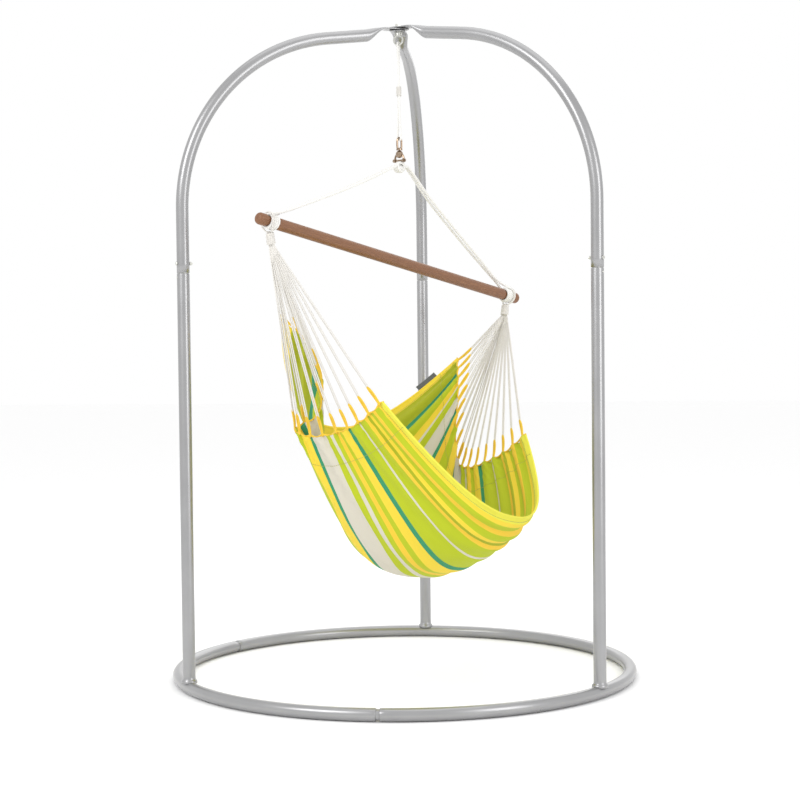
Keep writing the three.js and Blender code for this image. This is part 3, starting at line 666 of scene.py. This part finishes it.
# %% The seat's surface
KNEE_EDGE_LINE = [
    (0.307, -0.210, 0.750), (0.310, -0.130, 0.695), (0.315, -0.050, 0.662), (0.335, 0.035, 0.645),
]
RIGHT_EDGE_LINE = np.array([
    *KNEE_EDGE_LINE, (0.350, 0.090, 0.665), (0.325, 0.075, 0.760), (0.320, 0.060, 0.850),
    (0.345, 0.080, 0.925), (0.385, 0.115, 0.985),
])
LEFT_EDGE_LINE = np.array([
    *KNEE_EDGE_LINE, (0.348, 0.086, 0.662), (0.292, 0.052, 0.715), (0.282, 0.046, 0.815),
    (0.314, 0.068, 0.905), (0.370, 0.115, 0.975),
])
MIDDLE_LINE = np.array([
    (0.025, -0.395, 0.485), (0.000, -0.340, 0.405), (-0.025, -0.255, 0.340),
    (-0.040, -0.150, 0.298), (-0.035, -0.035, 0.286), (-0.030, 0.090, 0.330),
    (-0.020, 0.190, 0.430), (-0.010, 0.260, 0.565), (0.000, 0.300, 0.712),
])
FULLNESS = np.array([2.4, 2.3, 2.3, 2.4, 2.4, 2.3, 2.0, 1.85, 2.1])[:, None]
SEAT_SHEAR = 0.19
FIRST_LOOP = 0.02
LAST_LOOP = 0.98


def loop_number(along):
    """The place along an edge, counted in loops."""
    return (along - FIRST_LOOP) / (LAST_LOOP - FIRST_LOOP) * (LOOP_COUNT - 1)


def along_line(line, share):
    """A rounded line through the rows, read at any number of places at once."""
    place = np.clip(share, 0, 1) * (len(line) - 1)
    index = np.minimum(place.astype(int), len(line) - 2)
    part = (place - index)[..., None]
    padded = np.concatenate([[2 * line[0] - line[1]], line, [2 * line[-1] - line[-2]]])
    before, first, second, after = (padded[index + step] for step in range(4))
    slope = second - before
    bend = 2 * before - 5 * first + 4 * second - after
    turn = 3 * first - before - 3 * second + after
    return first + 0.5 * part * (slope + part * (bend + part * turn))


def seat_surface(across, along):
    across, along = np.broadcast_arrays(np.asarray(across, float), np.asarray(along, float))
    left = (across < 0)[..., None]
    edge = np.where(left, along_line(LEFT_EDGE_LINE, along), along_line(RIGHT_EDGE_LINE, along))
    middle = along_line(MIDDLE_LINE, along)
    sag = 1 - np.abs(across) ** along_line(FULLNESS, along)[..., 0]
    x = edge[..., 0] * across + middle[..., 0] * sag
    y = edge[..., 1] + (middle[..., 1] - edge[..., 1]) * sag
    z = edge[..., 2] + (middle[..., 2] - edge[..., 2]) * sag - SEAT_SHEAR * x
    return np.stack([x, y, z], -1)


def normals_of(grid):
    sideways = np.gradient(grid, axis=1)
    lengthways = np.gradient(grid, axis=0)
    normal = np.cross(sideways, lengthways)
    return normal / np.maximum(np.linalg.norm(normal, axis=-1, keepdims=True), 1e-9)


def folds(across, along):
    """How far the cloth stands off its smooth surface, in metres."""
    to_edge = 1 - np.abs(across)
    number = loop_number(along)
    pleat = np.cos(2 * math.pi * number) * 0.0042 * np.exp(-to_edge / 0.16)
    crumple = (
        np.sin(2 * math.pi * number * 2.3 + 4 * across)
        * np.cos(2 * math.pi * to_edge / 0.045 + 3 * along)
        * 0.0016 * np.exp(-((to_edge / 0.09) ** 2))
    )
    knee = np.exp(-((along - 0.08) / 0.11) ** 2)
    body = np.exp(-((along - 0.42) / 0.20) ** 2)
    head = np.exp(-((along - 0.90) / 0.12) ** 2)
    drift = 0.35 * np.sin(2.1 * across + 0.6) + 0.12 * np.sin(5.3 * across)
    long_folds = (
        knee * 0.0052 * np.sin(2 * math.pi * along / 0.062 + 2.4 * drift)
        + body * 0.0026 * np.sin(2 * math.pi * along / 0.093 + 4 * drift + 1.0)
        + head * 0.0060 * np.sin(2 * math.pi * along / 0.070 - 3 * drift)
    )
    fade = np.clip(to_edge / 0.12, 0, 1)
    hem = np.minimum(np.clip(along / 0.02, 0, 1), np.clip((1 - along) / 0.02, 0, 1))
    return (pleat + crumple) * (0.35 + 0.65 * hem) + long_folds * fade * (0.3 + 0.7 * hem)


CLOTH_COLUMNS = 210
CLOTH_ROWS = 190
CLOTH_THICKNESS = 0.0014
SCALLOP_DEPTH = 0.007
LEFT_BUNCHING = 0.16  # how far the gathers draw the stripes together along the left edge


def cloth_grid():
    across = np.sin(np.linspace(-1, 1, CLOTH_COLUMNS + 1) * math.pi / 2 * 0.82)
    across = across / across[-1]
    along = np.linspace(0, 1, CLOTH_ROWS + 1)
    across_grid, along_grid = np.meshgrid(across, along)
    smooth = seat_surface(across_grid, along_grid)
    normal = normals_of(smooth)
    scallop = np.abs(np.sin(math.pi * loop_number(along_grid)))
    pull = scallop * SCALLOP_DEPTH * np.exp(-(1 - np.abs(across_grid)) / 0.03)
    inward = seat_surface(across_grid * 0.97, along_grid) - smooth
    inward /= np.maximum(np.linalg.norm(inward, axis=-1, keepdims=True), 1e-9)
    shaped = smooth + normal * folds(across_grid, along_grid)[..., None] + inward * pull[..., None]
    return shaped, across_grid, along_grid


def seat_cloth():
    grid, across, along = cloth_grid()
    columns = grid.shape[1]
    bunched = along + LEFT_BUNCHING * np.clip(-across, 0, 1) ** 1.5 * np.sin(math.pi * along)
    corner_uv = np.stack([(across + 1) / 2 * CLOTH_WIDTH, bunched * CLOTH_LENGTH], -1)
    quads = grid_faces(CLOTH_ROWS, CLOTH_COLUMNS)
    faces = [tuple(r * columns + c for r, c in quad) for quad in quads]
    uvs = [tuple(corner_uv[r, c]) for quad in quads for r, c in quad]
    cloth = mesh_object("seat_fabric", in_chair(grid).reshape(-1, 3), faces, uvs, STRIPED_CLOTH)
    thicken(cloth, CLOTH_THICKNESS)
    return cloth


cloth = seat_cloth()
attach(cloth, "seat")
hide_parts("seat_cloth")
print("cloth:", CLOTH_COLUMNS, "by", CLOTH_ROWS, "quads")

# %% [markdown]
# Yellow cord is sewn along both side edges. At every string it leaves the cloth as a loop. Each
# loop is a closed ring of cord, long and narrow, that points at the gather of its strings.

# %% Edge cord and its loops
LOOP_CORD = 0.0052
LOOP_HALF_WIDTH = 0.0030
LOOP_ROOT = 0.006  # how far a loop starts inside the cloth's edge
LOOP_STEPS = 28


def gather_points(sign):
    top = on_bar(sign * NECK_PLACE, 0, -(NECK_RADIUS + 0.0126))
    bottom = top + np.array((-sign * 0.008, 0, -GATHER_LENGTH))
    return top, bottom


def edge_frame(sign, along):
    """A point of the side edge, the way to the gather, and the way along the edge."""
    _, gather = gather_points(sign)
    point = seat_surface(sign, along)
    inward = gather - point
    inward /= np.linalg.norm(inward)
    ahead = seat_surface(sign, min(along + 0.01, 1)) - seat_surface(sign, max(along - 0.01, 0))
    ahead -= inward * np.dot(ahead, inward)
    return point, inward, ahead / np.linalg.norm(ahead)


def loop_ring(sign, along):
    point, inward, ahead = edge_frame(sign, along)
    side = np.cross(inward, ahead)
    ring = []
    for step in range(LOOP_STEPS):
        angle = 2 * math.pi * step / LOOP_STEPS
        reach = 0.5 - 0.5 * math.cos(angle)
        width = LOOP_HALF_WIDTH * math.sin(angle) * (0.55 + 0.60 * reach)
        ring.append(point + inward * (LOOP_LENGTH * reach - LOOP_ROOT) + ahead * width
                    + side * 0.0012 * math.cos(angle * 2))
    return in_chair(np.array(ring))


LOOP_PLACES = np.linspace(FIRST_LOOP, LAST_LOOP, LOOP_COUNT)
for name, sign in (("left", -1), ("right", 1)):
    cord_line = []
    for along in np.linspace(0, 1, 150):
        point, inward, _ = edge_frame(sign, along)
        wave = abs(math.sin(math.pi * loop_number(along)))
        cord_line.append(point - inward * (SCALLOP_DEPTH * wave - 0.001))
    parts = [tube_parts(in_chair(np.array(cord_line)), LOOP_CORD / 2, 8)]
    parts += [tube_parts(loop_ring(sign, along), LOOP_CORD / 2, 8, True) for along in LOOP_PLACES]
    loops = mesh_object(f"edge_cord_{name}", *joined_parts(parts), YELLOW_CORD)
    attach(loops, "seat")
    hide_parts(f"edge_loops_{name}")
print("edge loops:", 2 * LOOP_COUNT)

# %% [markdown]
# Every string is doubled: it goes down from the gather, through its yellow loop and up again.
# The strands start in a tight bundle under the bar, in the same pattern as the loops, so they
# never cross.

# %% Strings
STRING_DIAMETER = 0.0036
STRING_SHRINK = 0.075  # size of the pattern at the gather, against the pattern of the loops
STRING_HALF_GAP = 0.0026
BUNDLE_RADIUS = 0.0062
BUNDLE_TURN = 2.4  # radians from one string to the next, in a sunflower's spiral


def string_route(sign, along, centre, spot):
    top, bottom = gather_points(sign)
    point, inward, ahead = edge_frame(sign, along)
    hook = point + inward * (LOOP_LENGTH - 0.010)
    spread = (point + inward * LOOP_LENGTH - centre) * STRING_SHRINK
    waist = bottom + spread + np.array((0, 0, 0.004))
    start = top + np.array((spot[0], spot[1], 0.0)) * BUNDLE_RADIUS
    gap = ahead * STRING_HALF_GAP
    halfway = start * 0.45 + waist * 0.55

    def leg(side):
        line = [start + side * 0.75, halfway + side * 0.75, waist + side * 0.8]
        line += [waist + (hook - waist) * share + side for share in (0.25, 0.5, 0.75, 0.96)]
        return [*line, hook + side * 0.7 - inward * 0.0015]

    return in_chair(smooth_path([*leg(gap), hook - inward * 0.0030, *reversed(leg(-gap))], 3))


for name, sign in (("left", -1), ("right", 1)):
    tops = []
    for along in LOOP_PLACES:
        point, inward, _ = edge_frame(sign, along)
        tops.append(point + inward * LOOP_LENGTH)
    centre = np.mean(tops, axis=0)
    for index, along in enumerate(LOOP_PLACES):
        turn = index * BUNDLE_TURN
        spot = np.array((math.cos(turn), math.sin(turn))) * math.sqrt((index + 0.5) / LOOP_COUNT)
        points = string_route(sign, along, centre, spot)
        string = tube(f"string_{name}_{index + 1:02d}", points, STRING_DIAMETER / 2, COTTON, 8)
        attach(string, "seat")
        if index == 0:
            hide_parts(f"strings_{name}")

# %% [markdown]
# Each bundle is held by a short whipping of the same cotton: one long helix, wound tightly round
# the strings. Two turns of cord go up from it and over the bar, just outside the bridle rope, and
# turn round the bar with the seat.

# %% Whipped gathers
HANGER_RADIUS = NECK_RADIUS + 0.0104
HANGER_DROP = 0.006  # how far a turn runs down into the whipping
HANGER_PLACES = (0.0085, 0.0125)  # outwards from the middle of the neck
GATHER_TURNS = 9


def hanger(sign, offset):
    ring = []
    for angle in np.linspace(0, 2 * math.pi, 48, endpoint=False):
        low = max(math.cos(angle), 0) ** 4
        radius = HANGER_RADIUS + HANGER_DROP * low
        along = sign * (NECK_PLACE + offset * (1 - low))
        ring.append(on_bar(along, radius * math.sin(angle), -radius * math.cos(angle)))
    return tube_parts(in_chair(np.array(ring)), STRING_DIAMETER / 2, 8, True)


for name, sign in (("left", -1), ("right", 1)):
    top, bottom = gather_points(sign)
    axis = (bottom - top) / np.linalg.norm(bottom - top)
    first = np.cross(axis, (0, 1, 0))
    first /= np.linalg.norm(first)
    second = np.cross(axis, first)
    helix = []
    for share in np.linspace(0, 1, GATHER_TURNS * 20):
        angle = 2 * math.pi * GATHER_TURNS * share
        radius = 0.0098 + 0.0012 * share
        helix.append(top + axis * (0.004 + 0.030 * share)
                     + first * radius * math.cos(angle) + second * radius * math.sin(angle))
    winding = in_chair(np.array(helix))
    wound = tube(f"gather_whipping_{name}", winding, STRING_DIAMETER / 2, COTTON, 8)
    rounds = [hanger(sign, offset) for offset in HANGER_PLACES]
    hangers = mesh_object(f"gather_hanger_{name}", *joined_parts(rounds), COTTON)
    for piece in (wound, hangers):
        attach(piece, "seat")
print("gathers whipped")

# %% [markdown]
# A line of stitches runs a few centimetres inside each side edge, where the casing of the edge
# cord is sewn down, and another along each hem. Stitches repeat along a line, which is a job for
# Geometry Nodes: the line is resampled, one small stitch is put on each point and turned along
# the line, and the result is made real.

# %% Stitches with Geometry Nodes


def stitch_tree():
    tree = bpy.data.node_groups.new("stitches", "GeometryNodeTree")
    new_socket = tree.interface.new_socket
    new_socket("Geometry", in_out="INPUT", socket_type="NodeSocketGeometry")
    new_socket("Geometry", in_out="OUTPUT", socket_type="NodeSocketGeometry")
    for name, value in (("Spacing", 0.006), ("Length", 0.0042), ("Thickness", 0.0007)):
        new_socket(name, in_out="INPUT", socket_type="NodeSocketFloat").default_value = value
    material = new_socket("Material", in_out="INPUT", socket_type="NodeSocketMaterial")
    add, link = tree.nodes.new, tree.links.new
    start, end = add("NodeGroupInput"), add("NodeGroupOutput")
    curve, resample = add("GeometryNodeMeshToCurve"), add("GeometryNodeResampleCurve")
    resample.mode = "LENGTH"
    points, align = add("GeometryNodeInstanceOnPoints"), add("FunctionNodeAlignRotationToVector")
    align.axis = "Z"
    tangent, thread = add("GeometryNodeInputTangent"), add("GeometryNodeMeshCylinder")
    thread.inputs["Vertices"].default_value = 6
    realize, paint = add("GeometryNodeRealizeInstances"), add("GeometryNodeSetMaterial")
    link(start.outputs["Geometry"], curve.inputs[0])
    link(curve.outputs[0], resample.inputs["Curve"])
    link(start.outputs["Spacing"], resample.inputs["Length"])
    link(resample.outputs[0], points.inputs["Points"])
    link(start.outputs["Thickness"], thread.inputs["Radius"])
    link(start.outputs["Length"], thread.inputs["Depth"])
    link(thread.outputs[0], points.inputs["Instance"])
    link(tangent.outputs[0], align.inputs["Vector"])
    link(align.outputs[0], points.inputs["Rotation"])
    link(points.outputs[0], realize.inputs[0])
    link(realize.outputs[0], paint.inputs["Geometry"])
    link(start.outputs["Material"], paint.inputs["Material"])
    link(paint.outputs[0], end.inputs["Geometry"])
    return tree, material.identifier


STITCHES, STITCH_MATERIAL = stitch_tree()


def stitched(name, line, material):
    """Stitches along a line of points, as one plain mesh."""
    mesh = bpy.data.meshes.new(name)
    mesh.from_pydata([tuple(p) for p in line], [(k, k + 1) for k in range(len(line) - 1)], [])
    guide = bpy.data.objects.new(name + "_line", mesh)
    bpy.context.scene.collection.objects.link(guide)
    modifier = guide.modifiers.new("stitches", "NODES")
    modifier.node_group = STITCHES
    modifier[STITCH_MATERIAL] = material
    bpy.context.view_layer.update()
    evaluated = guide.evaluated_get(bpy.context.evaluated_depsgraph_get())
    plain = bpy.data.meshes.new_from_object(evaluated)
    bpy.data.objects.remove(guide)
    plain.name = name
    made = bpy.data.objects.new(name, plain)
    bpy.context.scene.collection.objects.link(made)
    return made


def cloth_line(across, along):
    """The way out of the cloth, and the middle of its folded thickness, along a line."""
    step = 0.004
    after, before = np.minimum(across + step, 1), np.maximum(across - step, -1)
    high, low = np.minimum(along + step, 1), np.maximum(along - step, 0)
    side = seat_surface(after, along) - seat_surface(before, along)
    length = seat_surface(across, high) - seat_surface(across, low)
    normal = np.cross(side, length)
    normal /= np.linalg.norm(normal, axis=-1, keepdims=True)
    return normal, seat_surface(across, along) + normal * folds(across, along)[..., None]


SEAM_POINTS = 300
CASING_ACROSS = 0.895
HEM_ALONG = 0.024
casing_along = np.linspace(0.01, 0.99, SEAM_POINTS)
hem_across = np.linspace(-0.985, 0.985, SEAM_POINTS)
SEAMS = {
    "casing_left": (np.full(SEAM_POINTS, -CASING_ACROSS), casing_along),
    "casing_right": (np.full(SEAM_POINTS, CASING_ACROSS), casing_along),
    "knee_hem": (hem_across, np.full(SEAM_POINTS, HEM_ALONG)),
    "head_hem": (hem_across, np.full(SEAM_POINTS, 1 - HEM_ALONG)),
}
STITCH_HEIGHT = 0.0009  # from the middle of the cloth
for seam, (across, along) in SEAMS.items():
    normal, middle = cloth_line(across, along)
    for face, side in (("outer", 1), ("inner", -1)):
        line = in_chair(middle + normal * side * STITCH_HEIGHT)
        seam_piece = stitched(f"stitches_{seam}_{face}", line, THREAD)
        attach(seam_piece, "seat")

# %% [markdown]
# A hem is the cloth turned over twice, so it is thicker than the rest. A slim roll along each
# free edge gives that edge its body. It follows the same folds as the cloth.

# %% Rolled hems
HEM_RADIUS = 0.0026
for name, along in (("knee", 0.004), ("head", 0.996)):
    across = np.linspace(-0.998, 0.998, 320)
    _, middle = cloth_line(across, np.full_like(across, along))
    rim = tube(f"hem_{name}", in_chair(middle), HEM_RADIUS, STRIPED_CLOTH, 8)
    for corner in rim.data.uv_layers[0].data:
        corner.uv = (corner.uv[1], along * CLOTH_LENGTH)
    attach(rim, "seat")
print("hems rolled")

# %% [markdown]
# A dark grey woven label is sewn to the head hem. It carries no words, and its free edge is
# slightly bowed, so it doesn't look like a block.

# %% Blank label
LABEL_LENGTH = 0.072
LABEL_HEIGHT = 0.020
LABEL_ACROSS = 0.82
LABEL_THICKNESS = 0.0012
LABEL_COLUMNS = 24
LABEL_ROWS = 8


def blank_label():
    here = seat_surface(LABEL_ACROSS, 1)
    ahead = seat_surface(LABEL_ACROSS + 0.05, 1) - seat_surface(LABEL_ACROSS - 0.05, 1)
    ahead /= np.linalg.norm(ahead)
    inside = seat_surface(LABEL_ACROSS, 0.97) - here
    face = np.cross(ahead, inside)
    face /= np.linalg.norm(face)
    upward = np.cross(face, ahead)
    upward *= 1 if upward[2] > 0 else -1
    vertices = []
    for up in np.linspace(0, 1, LABEL_ROWS + 1):
        for across in np.linspace(0, 1, LABEL_COLUMNS + 1):
            bow = 0.0012 * math.sin(math.pi * across) * up
            vertices.append(here + ahead * (across - 0.5) * LABEL_LENGTH
                            + upward * up * LABEL_HEIGHT + face * bow)
    quads = grid_faces(LABEL_ROWS, LABEL_COLUMNS)
    faces = [tuple(r * (LABEL_COLUMNS + 1) + c for r, c in quad) for quad in quads]
    uvs = [(c / LABEL_COLUMNS * LABEL_LENGTH, r / LABEL_ROWS * LABEL_HEIGHT)
           for quad in quads for r, c in quad]
    label = mesh_object("label", in_chair(np.array(vertices)), faces, uvs, LABEL)
    thicken(label, LABEL_THICKNESS)
    return label


label = blank_label()
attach(label, "seat")
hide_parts("blank_label")
print("label", LABEL_LENGTH, "by", LABEL_HEIGHT, "m")

# %% [markdown]
# The bar is turned wood: a straight round stick with a neck near each tip for the rope, and
# rounded ends. A lathe is a profile carried round an axis, so the tube helper can make it, with
# a radius for every point along the bar. Its UV map then runs along the grain.

# %% Spreader bar
half = BAR_LENGTH / 2
neck_in = NECK_PLACE - NECK_WIDTH / 2
neck_out = NECK_PLACE + NECK_WIDTH / 2
half_profile = [
    (0.0, BAR_RADIUS), (0.25, BAR_RADIUS), (neck_in - 0.006, BAR_RADIUS),
    (neck_in - 0.003, BAR_RADIUS * 0.985), (neck_in, NECK_RADIUS), (NECK_PLACE, NECK_RADIUS),
    (neck_out, NECK_RADIUS), (neck_out + 0.003, BAR_RADIUS * 0.985), (neck_out + 0.006, BAR_RADIUS),
]
half_profile += [
    (half - 0.010 * (1 - math.sin(angle)), BAR_RADIUS * (0.30 + 0.70 * math.cos(angle)))
    for angle in np.linspace(0, math.pi / 2, 9)
]
profile = [(-along, radius) for along, radius in reversed(half_profile[1:])] + half_profile
bar_points = in_chair(np.array([on_bar(along) for along, _ in profile]))
bar = tube("bar", bar_points, [radius for _, radius in profile], HARDWOOD, 40)
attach(bar, "chair_frame")
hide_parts("spreader_bar")
print("bar", round(path_length(bar_points), 3), "m")

# %% [markdown]
# The knot is the bridle rope wound over the pin of the swivel. Three rounds of rope in slightly
# different planes, packed against each other, read as a real knot from every side. A belt of rope
# crosses them, and a dense middle fills the space inside.

# %% Apex knot
KNOT_ROPE_RADIUS = 0.0042
ROUNDS = ((-0.55, 0.80, -0.006), (0.0, 0.72, 0.0), (0.55, 0.80, 0.006))  # lean, size and shift
knot_angles = np.linspace(0, 2 * math.pi, 40, endpoint=False)
knot_lines = []
for lean, size, shift in ROUNDS:
    x = (KNOT_SIZE[0] - 0.0045) * size * np.cos(knot_angles)
    z = (KNOT_SIZE[2] - 0.0045) * np.sin(knot_angles)
    y = shift + lean * 0.004 * np.sin(2 * knot_angles)
    knot_lines.append(np.stack([x * math.cos(lean) + z * 0.15 * lean, y, z], -1))
knot_lines.append(np.stack([
    (KNOT_SIZE[0] - 0.0075) * np.cos(knot_angles), 0.0080 * np.sin(knot_angles),
    0.002 * np.sin(2 * knot_angles) - 0.0035,
], -1))
knot_parts = [tube_parts(in_chair(KNOT + line), KNOT_ROPE_RADIUS, 10, True) for line in knot_lines]
core_places = np.linspace(-0.012, 0.012, 9)
core = [KNOT + (x, 0, -0.002) for x in core_places]
core_radii = 0.0085 * np.sqrt(np.maximum(1 - (core_places / 0.0150) ** 2, 0.02))
knot_parts.append(tube_parts(in_chair(np.array(core)), core_radii, 14))
knot = mesh_object("bridle_knot", *joined_parts(knot_parts), WHITE_ROPE)
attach(knot, "chair_frame")
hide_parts("apex_knot")
print("knot of", len(knot_parts), "parts")

# %% [markdown]
# The stand's tubes are round, so they are made again with many sides. The ring comes in three
# arcs with a narrower neck at each joint. The posts stand on it, each in a small bead of weld.

# %% Floor ring
TUBE_RADIUS = 0.0175
RING_RADIUS = 0.650
RING_GAP = 0.009
SPIGOT_RADIUS = 0.0147
SPIGOT_LENGTH = 0.110
POSTS = {"back": (math.pi / 2, -1), "left": (7 * math.pi / 6, 0), "right": (11 * math.pi / 6, 1)}


def ring_arc(start, end, count):
    angles = np.linspace(start, end, count)
    x, y = RING_RADIUS * np.cos(angles), RING_RADIUS * np.sin(angles)
    return np.stack([x, y, np.full_like(angles, TUBE_RADIUS)], -1)


for name, (azimuth, _) in POSTS.items():
    reach = math.pi / 3 - RING_GAP / 2 / RING_RADIUS
    lip = 0.0022 / RING_RADIUS
    arc = np.concatenate([
        ring_arc(azimuth - reach, azimuth - reach + lip, 3)[:2],
        ring_arc(azimuth - reach + lip, azimuth + reach - lip, 97),
        ring_arc(azimuth + reach - lip, azimuth + reach, 3)[1:],
    ])
    radii = np.full(len(arc), TUBE_RADIUS)
    radii[[0, -1]] = TUBE_RADIUS - 0.0016
    radii[[1, -2]] = TUBE_RADIUS - 0.0005
    segment = tube(f"floor_ring_{name}", arc, radii, POWDER_COAT, 32)
    middle = azimuth + math.pi / 3
    half_spigot = SPIGOT_LENGTH / 2 / RING_RADIUS
    spigot = tube(f"ring_neck_{name}", ring_arc(middle - half_spigot, middle + half_spigot, 15),
                  SPIGOT_RADIUS, POWDER_COAT, 28)
    for piece, node in ((segment, f"ring_segment_{name}"), (spigot, f"ring_spigot_after_{name}")):
        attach(piece, "stand")
        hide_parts(node)
print("ring outer diameter", round(2 * (RING_RADIUS + TUBE_RADIUS), 3), "m")

# %% [markdown]
# An arm rises from its post, bends over in one large arc, runs slightly upwards to the hub and
# ends in a flat tongue. The press that flattened it left the top of the tube in line, so the
# section is squeezed towards the height of the tongue and spread sideways as it gets near the
# axis. The bent line is worked out from the slope and the radius of the bend, as in CAD.

# %% Posts and arms
POST_TOP = 1.157
POST_GAP = 0.0012
BEND_RADIUS = 0.490
ARM_RISE = math.radians(7)
HUB_HEIGHT = 1.856
TONGUE = 0.0046
TONGUE_STEP = 0.0049
TONGUE_START = 0.100
TONGUE_FLAT = 0.045
TONGUE_END = 0.024


def arm_line(level):
    slope = math.tan(ARM_RISE)
    tongue = HUB_HEIGHT + level * TONGUE_STEP
    at_axis = tongue - TUBE_RADIUS + TONGUE / 2 + slope * TONGUE_FLAT
    middle_x = RING_RADIUS - BEND_RADIUS
    stop = math.pi / 2 - ARM_RISE
    end_x = middle_x + BEND_RADIUS * math.cos(stop)
    middle_z = at_axis - slope * end_x - BEND_RADIUS * math.sin(stop)
    line = [(RING_RADIUS, 0, z) for z in np.linspace(POST_TOP + POST_GAP, middle_z, 8)[:-1]]
    line += [
        (middle_x + BEND_RADIUS * math.cos(a), 0, middle_z + BEND_RADIUS * math.sin(a))
        for a in np.linspace(0, stop, 49)
    ]
    straight, pressed = np.linspace(0.19, TONGUE_START, 5), np.linspace(0.096, -TONGUE_END, 25)
    line += [(x, 0, at_axis - slope * x) for x in (*straight, *pressed)]
    return np.array(line), tongue


def arm_parts(level):
    line, tongue = arm_line(level)

    def press(rings, points):
        near = np.clip((TONGUE_START - points[:, 0]) / (TONGUE_START - TONGUE_FLAT), 0, 1)
        near = (near * near * (3 - 2 * near))[:, None]
        above = rings[..., 2] - points[:, None, 2]
        rounded = np.sign(above) * (np.abs(above) / TUBE_RADIUS) ** (1 - 0.75 * near)
        flat = tongue + rounded * TONGUE / 2
        rings[..., 1] *= 1 + 0.30 * near
        rings[..., 2] = rings[..., 2] * (1 - near) + flat * near
        return rings

    return tube_parts(line, TUBE_RADIUS, 32, False, press)


# height and radius up a post: a bead of weld, the plain tube, and a slightly rounded top edge
POST_PROFILE = [
    (0.030, 0.0225), (0.0345, 0.0224), (0.038, 0.0212), (0.0400, 0.0190),
    (0.0425, TUBE_RADIUS + 0.0002), (0.05, TUBE_RADIUS), (POST_TOP - 0.002, TUBE_RADIUS),
    (POST_TOP - 0.0006, TUBE_RADIUS - 0.0003), (POST_TOP, TUBE_RADIUS - 0.0012),
]


def upright_parts(profile, sides):
    line = [(RING_RADIUS, 0, height) for height, _ in profile]
    return tube_parts(line, [radius for _, radius in profile], sides)


SLEEVE_PROFILE = [(POST_TOP + end * SPIGOT_LENGTH / 2, SPIGOT_RADIUS) for end in (-1, 1)]
SHAPES = (("upright", "post", POWDER_COAT, "powder_coated_steel"),
          ("bent_arm", "arm", POWDER_COAT, "powder_coated_steel"),
          ("inner_sleeve", "post_sleeve", ZINC, "zinc_plated_steel"))
for name, (azimuth, level) in POSTS.items():
    parts = (upright_parts(POST_PROFILE, 36), arm_parts(level), upright_parts(SLEEVE_PROFILE, 28))
    for (kind, node, material, slot), (vertices, faces, uvs) in zip(SHAPES, parts):
        vertices = turned_about(vertices, azimuth)
        piece = mesh_object(f"{kind}_{name}", vertices, faces, uvs, material)
        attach(piece, "stand")
        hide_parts(f"{node}_{name}")
print("arms reach", round(float(arm_line(1)[0][-2][2]), 3), "m")

# %% [markdown]
# The bolts, nuts, washers, the eye and the swivel are small machined pieces whose CAD shape is
# right, so they stay and only get their finish.

# %% Finishes of the small hardware
FINISH_OF = {"zinc_plated_steel": ZINC, "stainless_steel": STAINLESS}
kept = 0
for entry in frame["record"]["subparts"]:
    material = FINISH_OF.get(entry["material_slot"])
    node = frame["nodes"][entry["node"]]
    if material is not None and not node.hide_render:
        node.data.materials.clear()
        node.data.materials.append(material)
        kept += 1
print("hardware nodes finished:", kept)

# %% [markdown]
# The stage is a plain pale floor that runs far back, under soft light from large panels. The
# panels also give the round tubes their long highlights.

# %% Floor and light


def add_floor():
    bpy.ops.mesh.primitive_plane_add(size=40, location=(0, 0, -0.0005))
    floor = bpy.context.object
    floor.name = "floor"
    finish = Finish("pale_floor", (0.98, 0.98, 0.98), 0.95)
    floor.data.materials.append(finish.material)


def add_panel(name, place, aim, size, power):
    data = bpy.data.lights.new(name, "AREA")
    data.shape = "RECTANGLE"
    data.size, data.size_y = size
    data.energy = power
    panel = bpy.data.objects.new(name, data)
    panel.location = place
    panel.rotation_euler = (Vector(aim) - Vector(place)).to_track_quat("-Z", "Y").to_euler()
    bpy.context.scene.collection.objects.link(panel)


add_floor()
add_panel("key_panel", (-2.6, -3.4, 3.4), (0, 0, 0.9), (2.2, 2.2), 60)
add_panel("fill_panel", (3.4, -2.6, 2.0), (0, 0, 0.9), (1.6, 2.6), 34)
add_panel("top_panel", (0.2, 0.4, 4.2), (0, 0, 0.8), (3.0, 3.0), 16)
add_panel("back_panel", (0.5, 4.0, 2.6), (0, 0, 1.0), (4.0, 2.4), 26)
world = bpy.data.worlds.new("studio")
world.use_nodes = True
world.node_tree.nodes["Background"].inputs[0].default_value = (1, 1, 1, 1)
world.node_tree.nodes["Background"].inputs[1].default_value = 1.0
bpy.context.scene.world = world
bpy.context.scene.view_settings.view_transform = "Standard"
